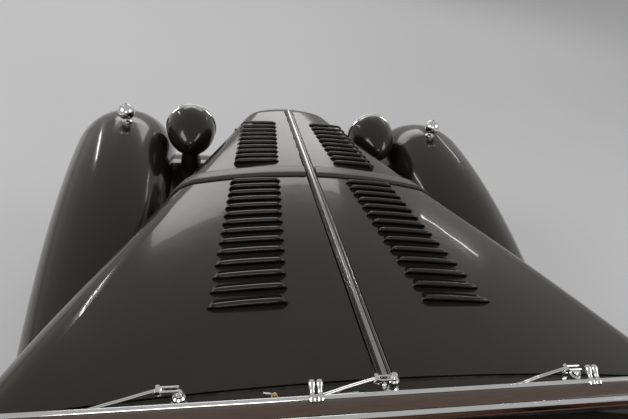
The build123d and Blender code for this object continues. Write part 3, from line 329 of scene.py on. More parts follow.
class Shape:
    """Collects grids into one mesh."""

    def __init__(self):
        self.points, self.faces, self.count = [], [], 0

    def grid(self, grid, wrap_u=False, wrap_v=True, ends=True):
        """Adds a grid of points; v wraps round a section, and the ends are closed."""
        nu, nv = grid.shape[:2]
        index = np.arange(nu * nv).reshape(nu, nv) + self.count
        rows = np.arange(nu if wrap_u else nu - 1)
        columns = np.arange(nv if wrap_v else nv - 1)
        u, v = np.meshgrid(rows, columns, indexing="ij")
        u1, v1 = (u + 1) % nu, (v + 1) % nv
        quads = np.stack([index[u, v], index[u1, v], index[u1, v1], index[u, v1]], axis=-1)
        self.faces += quads.reshape(-1, 4).tolist()
        if wrap_v and ends and not wrap_u:
            self.faces += [index[0].tolist(), index[-1][::-1].tolist()]
        self.points.append(grid.reshape(-1, 3))
        self.count += nu * nv
        return self

    def tube(self, path, radius, segments=10, closed=False, up=(0, 0, 1)):
        """Adds a round bar along a path."""
        return self.grid(carried(path, circle(segments, radius), closed, up), wrap_u=closed)

    def turn(self, profile, origin, axis, segments=48):
        """Adds a turned form."""
        return self.grid(turned(profile, origin, axis, segments))

    def slab(self, centre, size, turn=None):
        """Adds a box whose edges a Bevel modifier rounds."""
        corners = np.array([[-1, -1], [1, -1], [1, 1], [-1, 1]]) * np.array(size[:2]) / 2
        low = np.column_stack([corners, np.full(4, -size[2] / 2)])
        grid = np.stack([low, low + [0, 0, size[2]]])
        if turn is not None:
            grid = grid @ np.array(Matrix(turn).transposed())
        return self.grid(grid + np.asarray(centre, float))

    def mirrored(self):
        """Adds the mirror image in the car's middle plane."""
        points = np.vstack(self.points) * [1, -1, 1]
        self.faces += [[i + self.count for i in face[::-1]] for face in self.faces]
        self.points.append(points)
        self.count *= 2
        return self

    def piece(self, name, body, finish, slot, replaces=(), bevel=0.0, subdivide=0, flat=False):
        """Makes the object: doubles merged, faces outwards, smooth by angle."""
        mesh = bpy.data.meshes.new(name)
        mesh.from_pydata(np.vstack(self.points).tolist(), [], self.faces)
        work = bmesh.new()
        work.from_mesh(mesh)
        bmesh.ops.remove_doubles(work, verts=work.verts, dist=1e-6)
        bmesh.ops.dissolve_degenerate(work, edges=work.edges, dist=1e-7)
        bmesh.ops.recalc_face_normals(work, faces=work.faces)
        work.to_mesh(mesh)
        work.free()
        mesh.shade_smooth()
        if not flat:
            mesh.set_sharp_from_angle(angle=radians(38))
        made = bpy.data.objects.new(name, mesh)
        bpy.context.scene.collection.objects.link(made)
        made.data.materials.append(finish)
        if bevel:
            modifier = made.modifiers.new("Bevel", "BEVEL")
            modifier.width, modifier.segments, modifier.limit_method = bevel, 2, "ANGLE"
            modifier.angle_limit = radians(40)
        if subdivide:
            modifier = made.modifiers.new("Subdivision", "SUBSURF")
            modifier.levels = modifier.render_levels = subdivide
        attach(made, body)
        if replaces:
            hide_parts(*replaces)
        return made


FINISHES = {}


def finish(name):
    """A finish by name, made at its first use."""
    if name not in FINISHES:
        FINISHES[name] = MAKERS[name]()
    return FINISHES[name]


# ---------------------------------------------------------------------------------------
# Finishes


def make_paint():
    """Deep brown-black gloss enamel with a faint ripple and soft wear haze."""
    f = Finish("paint_enamel")
    colour = tuple(bpy.context.scene.roadster.paint_colour)
    haze = f.noise(3.5, 5.0).rise(0.35, 0.75)
    speck = f.cells(900.0) < 0.16
    tint = f.blend(haze * 0.5, colour, tuple(c * 1.35 for c in colour))
    tint = f.blend(speck * 0.25, tint, tuple(c * 1.9 for c in colour))
    rough = 0.13 + haze * 0.06 + f.noise(60.0, 2.0) * 0.03
    ripple = f.relief(f.noise(28.0, 2.0), 0.0006, 0.25)
    f.set(Base_Color=tint, Roughness=rough, Normal=ripple, IOR=1.45, Specular_IOR_Level=0.3)
    f.set(Specular_Tint=(1.0, 0.95, 0.86), Coat_Weight=0.3, Coat_Roughness=0.03, Coat_Tint=(1.0, 0.96, 0.88))
    return f.done()


def make_chrome():
    """Bright plate with fine polishing swirls and a slight warm haze."""
    f = Finish("chrome_plate")
    smear = f.noise(35.0, 4.0).rise(0.4, 0.8)
    tint = f.blend(smear * 0.5, (0.74, 0.74, 0.73), (0.62, 0.61, 0.58))
    scratch = f.noise(220.0, 3.0, vector=f.place(scale=(1, 5, 1)))
    f.set(Base_Color=tint, Metallic=1.0, Roughness=0.07 + smear * 0.12)
    f.set(Normal=f.relief(scratch, 0.0001, 0.25))
    return f.done()


def make_worn_plate():
    """Old nickel plate of the bonnet hinge: streaked along its length, with painted shade that darkens the grooves
    beside the rod and inside the edges nearly black."""
    f = Finish("hinge_nickel")
    _, y, _ = f.axes()
    streak = f.noise(7.0, 5.0, vector=f.place(scale=(1, 30, 1)))
    stain = f.noise(11.0, 5.0).rise(0.5, 0.75)
    # Painted shade: the grooves beside the rod and inside the bead edges go nearly black.
    groove_shade = (abs(abs(y) - 0.0072) < 0.0013) + (abs(abs(y) - 0.0100) < 0.0007)
    tint = f.blend(streak, (0.26, 0.255, 0.235), (0.50, 0.49, 0.45))
    tint = f.blend(stain * 0.6, tint, (0.14, 0.135, 0.12))
    f.set(Base_Color=f.blend(groove_shade * 0.95, tint, (0.012, 0.011, 0.009)), Metallic=1.0)
    f.set(Roughness=0.12 + stain * 0.2 + groove_shade * 0.4, Normal=f.relief(streak, 0.0001, 0.3))
    return f.done()


def make_brass():
    """Brass, dulled by handling."""
    f = Finish("dull_brass")
    cloud = f.noise(45.0, 4.0).rise(0.35, 0.8)
    f.set(Base_Color=f.blend(cloud, (0.75, 0.56, 0.22), (0.45, 0.32, 0.12)), Metallic=1.0)
    f.set(Roughness=0.2 + cloud * 0.25)
    return f.done()


def make_hose():
    """Cloth-covered rubber hoses and leads."""
    f = Finish("cloth_hose")
    x, y, z = f.axes()
    weave = abs(((x + y + z) * 1800.0).sine())
    f.set(Base_Color=f.blend(weave * 0.4, (0.015, 0.014, 0.013), (0.05, 0.046, 0.04)), Roughness=0.7)
    return f.done()


def make_chassis():
    """Satin black chassis enamel with dust on it."""
    f = Finish("chassis_enamel")
    dust = f.noise(9.0, 6.0).rise(0.45, 0.75)
    tint = f.blend(dust * 0.55, (0.022, 0.022, 0.021), (0.09, 0.083, 0.07))
    f.set(Base_Color=tint, Roughness=0.42 + dust * 0.3)
    f.set(Normal=f.relief(f.noise(160.0, 3.0), 0.0003, 0.4))
    return f.done()


def make_leather(name="seat_leather", colour=(0.12, 0.045, 0.02), grain=420.0, worn=0.5):
    """Hide: pebbled grain, darker creases and lighter rubbed patches."""
    f = Finish(name)
    cells = f.cells(grain, "DISTANCE_TO_EDGE")
    crease = 1 - cells.rise(0.0, 0.09)
    rub = f.noise(7.0, 5.0).rise(0.5, 0.78)
    pale = tuple(min(1.0, c * 1.7 + 0.015) for c in colour)
    dark = tuple(c * 0.45 for c in colour)
    tint = f.blend(crease * 0.5, f.blend(rub * worn, colour, pale), dark)
    f.set(Base_Color=tint, Roughness=0.42 + crease * 0.25 - rub * 0.08)
    f.set(Normal=f.relief(cells.rise(0.0, 0.12) * 0.7 + f.noise(60.0) * 0.5, 0.0005, 0.6))
    return f.done()


def make_strap():
    """Bridle leather strap: smooth pale-brown top, dark rough rear edge and stitch rows."""
    f = Finish("strap_leather")
    x, y, z = f.axes()
    across = (x - at(-520)) / 0.057
    rear = 1 - across.rise(0.20, 0.27)
    grain = f.noise(240.0, 5.0)
    streak = f.noise(26.0, 4.0, vector=f.place(scale=(6, 1, 1)))
    tint = f.blend(streak, (0.066, 0.067, 0.046), (0.098, 0.099, 0.068))
    tint = f.blend(rear * (0.7 + grain * 0.3), tint, (0.011, 0.008, 0.006))
    row = (abs(across - 0.32) < 0.014) + (abs(across - 0.93) < 0.014)
    stitch = row * ((y * 160.0).fraction() < 0.62)
    tint = f.blend(stitch * 0.6, tint, (0.13, 0.125, 0.09))
    f.set(Base_Color=tint, Roughness=0.26 + rear * 0.5 + grain * 0.05)
    f.set(Normal=f.relief(grain * (0.06 + rear * 1.5) - row * 0.5 + stitch * 0.6, 0.0009, 0.8))
    return f.done()


def make_rubber():
    """Tyre rubber: dull black, dusty in the grooves and round the tread."""
    f = Finish("tyre_rubber")
    dust = f.noise(30.0, 6.0).rise(0.4, 0.8)
    tint = f.blend(dust * 0.6, (0.018, 0.018, 0.018), (0.06, 0.056, 0.05))
    f.set(Base_Color=tint, Roughness=0.62 + dust * 0.2, Specular_IOR_Level=0.4)
    f.set(Normal=f.relief(f.noise(700.0, 3.0), 0.0003, 0.5))
    return f.done()


def make_glass():
    """Screen glass with faint smears."""
    f = Finish("screen_glass")
    smear = f.noise(6.0, 4.0).rise(0.45, 0.8)
    f.set(Base_Color=(0.75, 0.82, 0.79), Roughness=smear * 0.04, IOR=1.45, Alpha=0.10)
    return f.done()


def make_lens():
    """Pressed lamp glass with vertical flutes."""
    f = Finish("lamp_lens")
    _, y, z = f.axes()
    flutes = abs((y * 950.0).sine())
    f.set(Base_Color=(0.86, 0.88, 0.85), Roughness=0.06, IOR=1.5, Transmission_Weight=0.6)
    f.set(Alpha=0.5, Normal=f.relief(flutes, 0.0015, 0.7))
    return f.done()


def make_red_lens():
    """Ruby tail lamp glass."""
    f = Finish("ruby_lens")
    rings = abs((f.cells(300.0) * 9.0).sine())
    f.set(Base_Color=(0.45, 0.01, 0.008), Roughness=0.08, IOR=1.5, Transmission_Weight=0.35)
    f.set(Normal=f.relief(rings, 0.0004, 0.5), Coat_Weight=0.6)
    return f.done()


def make_reflector():
    """Silvered bowl inside a lamp."""
    f = Finish("silvered_bowl")
    cloud = f.noise(40.0).rise(0.3, 0.8)
    f.set(Base_Color=f.blend(cloud, (0.85, 0.85, 0.84), (0.7, 0.7, 0.68)), Metallic=1.0)
    f.set(Roughness=0.09 + cloud * 0.08)
    return f.done()


def make_iron():
    """Cast engine iron, sooty in the hollows."""
    f = Finish("cast_iron")
    soot = f.noise(12.0, 6.0).rise(0.4, 0.75)
    tint = f.blend(soot * 0.7, (0.16, 0.165, 0.16), (0.04, 0.038, 0.034))
    f.set(Base_Color=tint, Metallic=0.6, Roughness=0.5 + soot * 0.25)
    f.set(Normal=f.relief(f.noise(320.0, 4.0), 0.0006, 0.6))
    return f.done()


def make_alloy():
    """Sand-cast aluminium, brushed by hand."""
    f = Finish("cast_alloy")
    grain = f.noise(180.0, 5.0)
    f.set(Base_Color=f.blend(grain, (0.5, 0.5, 0.49), (0.36, 0.36, 0.35)), Metallic=1.0)
    f.set(Roughness=0.34 + grain * 0.2, Normal=f.relief(grain, 0.0004, 0.5))
    return f.done()


def make_exhaust():
    """Exhaust steel, blued near the engine and rusty along the seams."""
    f = Finish("exhaust_steel")
    x, _, _ = f.axes()
    rust = f.noise(22.0, 6.0).rise(0.5, 0.75)
    hot = x.rise(at(-1400), at(-900))
    tint = f.blend(hot * 0.5, (0.3, 0.28, 0.26), (0.22, 0.19, 0.28))
    tint = f.blend(rust * 0.7, tint, (0.16, 0.06, 0.025))
    f.set(Base_Color=tint, Metallic=0.75, Roughness=0.38 + rust * 0.4)
    f.set(Normal=f.relief(f.noise(260.0, 4.0), 0.0004, 0.5))
    return f.done()


def make_core():
    """Radiator core: fine honeycomb of tubes whose openings are painted near-black as the shade inside them."""
    f = Finish("radiator_honeycomb")
    cells = f.cells(190.0, "DISTANCE_TO_EDGE", randomness=0.15)
    wall_mask_hole_shade = 1 - cells.rise(0.03, 0.12)
    # Painted shade: the cell openings are near-black for the shade down the tubes; the walls keep the core's dark grey.
    f.set(Base_Color=f.blend(wall_mask_hole_shade, (0.006, 0.006, 0.006), (0.07, 0.065, 0.055)), Metallic=0.5)
    f.set(Roughness=0.5, Normal=f.relief(wall_mask_hole_shade, 0.003, 1.0))
    return f.done()


def make_bakelite():
    """Steering wheel rim and knobs: hard black gloss."""
    f = Finish("rim_bakelite")
    cloud = f.noise(18.0, 4.0).rise(0.4, 0.8)
    f.set(Base_Color=f.blend(cloud * 0.5, (0.012, 0.010, 0.009), (0.035, 0.026, 0.02)))
    f.set(Roughness=0.16 + cloud * 0.12, Coat_Weight=0.3)
    f.set(Normal=f.relief(f.noise(90.0, 2.0), 0.0003, 0.3))
    return f.done()


def make_rail_band():
    """Dark varnished band let into the top rail of the windscreen."""
    f = Finish("rail_band")
    grain = f.noise(60.0, 6.0, vector=f.place(scale=(12, 0.6, 12)))
    f.set(Base_Color=f.blend(grain, (0.028, 0.014, 0.008), (0.075, 0.042, 0.026)))
    f.set(Roughness=0.28 + grain * 0.2, Coat_Weight=0.4, Coat_Roughness=0.1)
    f.set(Normal=f.relief(grain, 0.0003, 0.5))
    return f.done()


def make_carpet():
    """Cut-pile carpet."""
    f = Finish("floor_carpet")
    pile = f.noise(900.0, 3.0)
    tread = f.noise(8.0, 4.0).rise(0.4, 0.8)
    tint = f.blend(pile, (0.02, 0.012, 0.009), (0.07, 0.042, 0.03))
    f.set(Base_Color=f.blend(tread * 0.4, tint, (0.08, 0.06, 0.045)), Roughness=0.95)
    f.set(Normal=f.relief(pile, 0.002, 1.0), Sheen_Weight=0.4)
    return f.done()


def make_dial():
    """Instrument face: matt black with a fine grain."""
    f = Finish("dial_face")
    grain = f.noise(500.0, 2.0)
    f.set(Base_Color=f.blend(grain, (0.012, 0.012, 0.012), (0.03, 0.03, 0.029)), Roughness=0.6)
    return f.done()


def make_marking():
    """Ivory dial marks and needles."""
    f = Finish("dial_marks")
    age = f.noise(60.0).rise(0.3, 0.8)
    f.set(Base_Color=f.blend(age, (0.72, 0.68, 0.55), (0.6, 0.54, 0.4)), Roughness=0.5)
    return f.done()


def make_shadow_rubber():
    """Black rubber beading and seals."""
    f = Finish("seal_rubber")
    bloom = f.noise(50.0).rise(0.4, 0.8)
    f.set(Base_Color=f.blend(bloom, (0.012, 0.012, 0.012), (0.035, 0.034, 0.032)))
    f.set(Roughness=0.65 + bloom * 0.2, Specular_IOR_Level=0.12, Normal=f.relief(f.noise(500.0), 0.0002, 0.4))
    return f.done()


def make_piping():
    """Leather piping, a shade darker than the hide."""
    return make_leather("piping_leather", (0.055, 0.02, 0.01), 700.0, 0.3)


MAKERS = {
    "piping": make_piping,
    "paint": make_paint,
    "chrome": make_chrome,
    "worn_plate": make_worn_plate,
    "brass": make_brass,
    "hose": make_hose,
    "chassis": make_chassis,
    "leather": make_leather,
    "strap": make_strap,
    "rubber": make_rubber,
    "glass": make_glass,
    "lens": make_lens,
    "ruby": make_red_lens,
    "reflector": make_reflector,
    "iron": make_iron,
    "alloy": make_alloy,
    "exhaust": make_exhaust,
    "core": make_core,
    "bakelite": make_bakelite,
    "rail_band": make_rail_band,
    "carpet": make_carpet,
    "dial": make_dial,
    "marking": make_marking,
    "seal": make_shadow_rubber,
}

# Finish of each CAD node that stays in view, by the record's material slot
SLOT_FINISH = {
    "paint": "paint",
    "dash_paint": "paint",
    "wheel_paint": "paint",
    "chassis_black": "chassis",
    "chrome": "chrome",
    "glass": "glass",
    "lamp_glass": "lens",
    "core_black": "core",
    "engine_grey": "iron",
    "exhaust_steel": "exhaust",
    "leather": "leather",
    "strap_leather": "strap",
    "tyre": "rubber",
    "wheel_rim_plastic": "bakelite",
    "lamp_red": "ruby",
    "plate": "chassis",
}


# ---------------------------------------------------------------------------------------
# Settings and operators


class RoadsterSettings(bpy.types.PropertyGroup):
    """Colours that a user would change."""

    paint_colour: FloatVectorProperty(
        name="Paint",
        description="Colour of the body enamel",
        subtype="COLOR",
        size=3,
        min=0.0,
        max=1.0,
        default=(0.0125, 0.0112, 0.0082),
    )
    floor_colour: FloatVectorProperty(
        name="Floor",
        description="Colour of the pale floor",
        subtype="COLOR",
        size=3,
        min=0.0,
        max=1.0,
        default=(0.56, 0.56, 0.56),
    )


class ROADSTER_OT_stage(bpy.types.Operator):
    """Puts up the floor, the lamps and the camera"""

    bl_idname = "roadster.stage"
    bl_label = "Stage"

    FOCAL_PIXELS = 522.6
    IMAGE_WIDTH = 628
    CAMERA = (-0.2932, 0.3004, 1.669)
    YAW, DIP, ROLL = -0.2484, 0.5774, -0.1529
    CEILING = 3.0
    TUBES = (((4.5, 2.6), (8.1, 4.0)), ((5.9, -4.5), (7.2, -4.1)))

    def camera(self):
        ahead = Vector((cos(self.DIP) * cos(self.YAW), cos(self.DIP) * sin(self.YAW), -sin(self.DIP)))
        right = Vector((sin(self.YAW), -cos(self.YAW), 0))
        down = ahead.cross(right)
        across = right * cos(self.ROLL) + down * sin(self.ROLL)
        below = -right * sin(self.ROLL) + down * cos(self.ROLL)
        data = bpy.data.cameras.new("photo_camera")
        data.sensor_width = 36.0
        data.lens = 36.0 * self.FOCAL_PIXELS / self.IMAGE_WIDTH
        data.clip_start = 0.01
        camera = bpy.data.objects.new("photo_camera", data)
        turn = Matrix((across, -below, -ahead)).transposed()
        camera.matrix_world = Matrix.Translation(self.CAMERA) @ turn.to_4x4()
        bpy.context.scene.collection.objects.link(camera)
        bpy.context.scene.camera = camera

    def floor(self):
        settings = bpy.context.scene.roadster
        f = Finish("pale_floor")
        cloud = f.noise(0.8, 5.0)
        base = tuple(settings.floor_colour)
        f.set(Base_Color=f.blend(cloud * 0.3, base, tuple(c * 0.9 for c in base)), Roughness=0.55)
        size = 70.0
        mesh = bpy.data.meshes.new("floor")
        corners = [(-size, -size, 0), (size, -size, 0), (size, size, 0), (-size, size, 0)]
        mesh.from_pydata(corners, [], [(0, 1, 2, 3)])
        floor = bpy.data.objects.new("floor", mesh)
        floor.data.materials.append(f.done())
        bpy.context.scene.collection.objects.link(floor)

    def lamp(self, name, place, target, size, power):
        data = bpy.data.lights.new(name, "AREA")
        data.shape, data.size, data.size_y, data.energy = "RECTANGLE", size[0], size[1], power
        lamp = bpy.data.objects.new(name, data)
        way = Vector(target) - Vector(place)
        lamp.matrix_world = Matrix.Translation(place) @ way.to_track_quat("-Z", "Y").to_matrix().to_4x4()
        bpy.context.scene.collection.objects.link(lamp)

    def tube(self, name, start, end, width=0.05, radiance=45.0):
        """A thin ceiling lamp between two plan points, facing down."""
        (x0, y0), (x1, y1) = start, end
        length = sqrt((x1 - x0) ** 2 + (y1 - y0) ** 2)
        data = bpy.data.lights.new(name, "AREA")
        data.shape, data.size, data.size_y = "RECTANGLE", length, width
        data.energy = pi * length * width * radiance
        lamp = bpy.data.objects.new(name, data)
        turn = Matrix.Rotation(atan2(y1 - y0, x1 - x0), 4, "Z")
        lamp.matrix_world = Matrix.Translation(((x0 + x1) / 2, (y0 + y1) / 2, self.CEILING)) @ turn
        bpy.context.scene.collection.objects.link(lamp)

    def world(self):
        world = bpy.data.worlds.new("pale_room")
        world.use_nodes = True
        tree = world.node_tree
        background = tree.nodes["Background"]
        background.inputs["Color"].default_value = (0.8, 0.8, 0.8, 1)
        background.inputs["Strength"].default_value = 0.62
        bpy.context.scene.world = world

    def execute(self, context):
        context.scene.view_settings.view_transform = "Standard"
        self.camera()
        self.floor()
        self.world()
        self.lamp("window_side", (-0.5, 4.8, 3.6), (0, 0, 0.5), (3.0, 2.2), 130)
        self.lamp("far_side", (-1.0, -4.8, 3.6), (0, 0, 0.5), (3.0, 2.2), 110)
        self.lamp("behind", (-5.0, 0.5, 3.4), (0, 0, 0.5), (2.4, 2.0), 60)
        self.lamp("far_window", (9.5, 0.0, 3.8), (1.2, 0, 0.9), (5.5, 1.9), 85)
        for number, (start, end) in enumerate(self.TUBES):
            self.tube(f"tube_{number}", start, end)
        return {"FINISHED"}


class ROADSTER_OT_finishes(bpy.types.Operator):
    """Gives every CAD node in view its finish"""

    bl_idname = "roadster.finishes"
    bl_label = "Finishes"

    def execute(self, context):
        slots = {row["node"]: row["material_slot"] for row in frame["record"]["subparts"]}
        for name, node in frame["nodes"].items():
            node.data.materials.clear()
            node.data.materials.append(finish(SLOT_FINISH[slots[name]]))
        return {"FINISHED"}


class ROADSTER_OT_bonnet(bpy.types.Operator):
    """Lays the chrome hinge down the middle of the bonnet, a rolled lip along the mouth of every
    louvre and the cords behind the bonnet"""

    bl_idname = "roadster.bonnet"
    bl_label = "Bonnet hinge and louvre lips"

    GROUPS = ((-1062, 45.4, 1.02, 14), (-422, 34.0, 0.0, 10))

    def louvres(self, first, pitch, growth, count):
        """Mouth position, row offset and length of each louvre of a group, rear one first."""
        for number in range(count):
            x = first + number * pitch - growth * number * (number - 1) / 2
            run = x - self.GROUPS[0][0]
            yield at(x), (216 - 0.105 * run) * MM, (158 - 0.034 * run) * MM

    def lips(self):
        """A rolled lip along every louvre's mouth, fading to its ends, and a black sheet of painted shade under
        each row, standing for the dark inside the bonnet. Rays dropped on the bonnet half find the hood's edge and the
        panel."""
        roll = np.array([(-0.0050, 0.0002), (-0.0015, 0.0011), (0.0010, 0.0010), (0.0030, -0.0001), (0.0043, -0.0020),
                         (0.0046, -0.0042), (0.0038, -0.0060), (0.0022, -0.0068), (0.0008, -0.0060), (0.0, -0.0030),
                         (-0.0050, -0.0012)])
        across = np.sin(np.linspace(-pi / 2, pi / 2, 25))
        drop = np.interp(np.abs(across), [0, 0.86, 0.93, 1], [0.020, 0.020, 0.004, 0.003])
        for side, sign in SIDES.items():
            tree = BVHTree.FromObject(frame["nodes"][f"bonnet_{side}"], bpy.context.evaluated_depsgraph_get())

            def height(x, y):
                return tree.ray_cast(Vector((x, sign * y, 1.5)), Vector((0, 0, -1)))[0].z

            lips, shade_tray = Shape(), Shape()
            for group in self.GROUPS:
                rows = []
                for x, y, length in self.louvres(*group):
                    line = [(x + 0.0005, y + t * length * 0.485, height(x + 0.0015, y + t * length * 0.485)) for t in across]
                    size = np.clip(1.04 - across**8, 0.12, 1)[:, None, None]
                    lips.grid((np.array(line)[:, None] + size * np.stack([-roll[:, 0], 0 * roll[:, 0], roll[:, 1]], axis=1)) * [1, sign, 1])
                    # Painted shade: a black sheet under each row of mouths stands for the dark inside the bonnet.
                    reach = y + across * (length / 2 + 0.020)
                    skin = np.array([height(x - 0.006, v) for v in reach])
                    top = np.stack([np.full(25, x - 0.006), reach, skin - drop], axis=1)
                    rows.append(np.concatenate([top, (top - [0, 0, 0.0015])[::-1]]) * [1, sign, 1])
                    last = [x + 0.022 - x + 0.006, 0, -0.0006]
                rows.append(rows[-1] + last)
                shade_tray.grid(np.array(rows))
            lips.piece(f"louvre_lips_{side}", f"{side}_bonnet", finish("paint"), "paint")
            # The black sheet under the louvres is painted shade.
            shade_tray.piece(f"louvre_shade_tray_{side}", f"{side}_bonnet", finish("seal"), "paint")

    def seals(self):
        """A black rubber cord in the gap behind each bonnet half; its black also stands in as painted shade of the gap.
        """
        for side, sign in SIDES.items():
            edge, _ = wrapped(f"bonnet_{side}", [at(-1252)], np.linspace(radians(2.9), radians(78.0), 90) * sign)
            band = carried(edge[0] - [0.0125, 0, 0], [(-0.0046, -0.002), (0.0046, -0.002), (0.0044, 0.0006), (0.0, 0.0010), (-0.0044, 0.0006)])
            # Painted shade: the black cord sits low in the gap so the gap shows as a dark line.
            Shape().grid(band).piece(f"scuttle_shade_cord_{side}", "chassis", finish("seal"), "paint")

    def execute(self, context):
        self.lips()
        self.seals()
        rear, front = np.array([at(-1256), 0, 0.9748]), np.array([at(6), 0, 0.8990])
        shape = Shape()
        way = front - rear
        knuckles = 16
        for n in range(knuckles):
            a, b = rear + way * (n + 0.004) / knuckles, rear + way * (n + 0.996) / knuckles
            shape.tube(np.linspace(a, b, 2) + [0, 0, 0.0012], 0.0055, 16)
        shape.tube(np.linspace(rear, front, 2), 0.004, 10)
        base = np.array([[-0.0128, -0.003], [0.0128, -0.003], [0.0128, 0.0012], [0.0117, 0.0030], [0.0104, 0.0016],
                         [0.0070, 0.0004], [-0.0070, 0.0004], [-0.0104, 0.0016], [-0.0117, 0.0030], [-0.0128, 0.0012]])
        shape.grid(carried(np.linspace(rear, front, 2), base))
        shape.piece("hinge_strip", "chassis", finish("worn_plate"), "chrome", ["bonnet_hinge"])
        return {"FINISHED"}


class ROADSTER_OT_lamps(bpy.types.Operator):
    """Fits headlamp rims, reflectors and glasses, sidelamps and tail lamps"""

    bl_idname = "roadster.lamps"
    bl_label = "Lamps"

    HEADLAMP = (at(60), 0.351, 0.790)
    RADIUS = 0.088

    def headlamps(self):
        x, y, z = self.HEADLAMP
        turn = np.linspace(0, 2 * pi, 20, endpoint=False)
        section = np.stack([0.004 + 0.009 * np.cos(turn), self.RADIUS - 0.002 + 0.0065 * np.sin(turn)], axis=1)
        rim, bowl, glass, bulb = Shape(), Shape(), Shape(), Shape()
        rim.grid(turned(section, (x, y, z), (1, 0, 0), 96), wrap_u=True)
        for angle in (90, 210, 330):
            a = radians(angle)
            place = (x + 0.010, y + (self.RADIUS + 0.001) * cos(a), z + (self.RADIUS + 0.001) * sin(a))
            rim.turn([(-0.006, 0.0), (-0.006, 0.004), (0.003, 0.004), (0.005, 0.0025), (0.005, 0.0)], place, (1, 0, 0), 12)
        depth = np.linspace(0, 1, 24)
        curve = np.stack([0.006 - 0.001 * (1 - depth), 0.082 * depth], axis=1)
        bowl.grid(turned(np.vstack([curve, curve[::-1] - [0.0008, 0]]), (x, y, z), (1, 0, 0), 64), ends=False)
        dome = np.stack([0.008 + 0.014 * (1 - depth**2), 0.083 * depth], axis=1)
        glass.grid(turned(np.vstack([dome, dome[::-1] - [0.003, 0]]), (x, y, z), (1, 0, 0), 72), ends=False)
        bulb.turn([(0.004, 0.0), (0.004, 0.014), (0.0075, 0.016), (0.0105, 0.012), (0.0125, 0.006), (0.013, 0.0)], (x, y, z), (1, 0, 0), 24)
        rim.mirrored().piece("headlamp_rims", "chassis", finish("chrome"), "chrome")
        bowl.mirrored().piece("headlamp_reflectors", "chassis", finish("reflector"), "chrome")
        bulb.mirrored().piece("headlamp_bulbs", "chassis", finish("reflector"), "lamp_glass")
        glass.mirrored().piece("headlamp_glasses", "chassis", finish("lens"), "lamp_glass", ["headlamp_lenses"])

    def sidelamps(self):
        x, y, z = at(-18), 0.569, 0.8405
        chrome, glass = Shape(), Shape()
        a = np.linspace(-pi / 2 + 0.32, pi / 2, 28)
        ball = np.stack([0.036 + 0.028 * np.sin(a), 0.028 * np.cos(a)], axis=1)
        stem = np.array([[-0.002, 0.0], [-0.002, 0.017], [0.0015, 0.0165], [0.003, 0.011], [0.006, 0.0085]])
        chrome.turn(np.vstack([stem, ball]), (x, y, z), (0, 0, 1), 56)
        chrome.turn([(0.0, 0.0), (0.0, 0.0195), (0.0035, 0.0195), (0.005, 0.0165), (0.005, 0.0)], (x + 0.0160, y, z + 0.036), (1, 0, 0), 40)
        chrome.turn([(0.0, 0.0), (0.0, 0.004), (0.005, 0.004), (0.0075, 0.0)], (x, y, z + 0.0630), (0, 0, 1), 16)
        r = np.linspace(0, 1, 10)
        dome = np.stack([0.020 + 0.008 * (1 - r**2), 0.0158 * r], axis=1)
        glass.turn(np.vstack([dome, [[0.0195, 0.0]]]), (x, y, z + 0.038), (1, 0, 0), 32)
        chrome.mirrored().piece("sidelamp_balls", "chassis", finish("chrome"), "chrome", ["sidelamps"])
        glass.mirrored().piece("sidelamp_glasses", "chassis", finish("lens"), "lamp_glass")

    def tail_lamps(self):
        low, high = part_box("tail_lamps")
        x, y, z = low.x, high.y - 0.028, (low.z + high.z) / 2
        shell, red = Shape(), Shape()
        body = [(0.0, 0.0), (0.0, 0.024), (0.004, 0.0285), (0.010, 0.0285), (0.014, 0.026), (0.045, 0.022), (0.082, 0.012), (0.09, 0.0)]
        shell.turn(body, (x, y, z), (1, 0, 0), 48)
        r = np.linspace(0, 1, 10)
        red.turn(np.vstack([np.stack([-0.010 * (1 - r**2), 0.0235 * r], axis=1), [[0.002, 0.0]]]), (x, y, z), (1, 0, 0), 40)
        shell.mirrored().piece("tail_lamp_shells", "chassis", finish("chrome"), "chrome", ["tail_lamps"])
        red.mirrored().piece("tail_lamp_glasses", "chassis", finish("ruby"), "chrome")

    def execute(self, context):
        self.headlamps()
        self.sidelamps()
        self.tail_lamps()
        return {"FINISHED"}


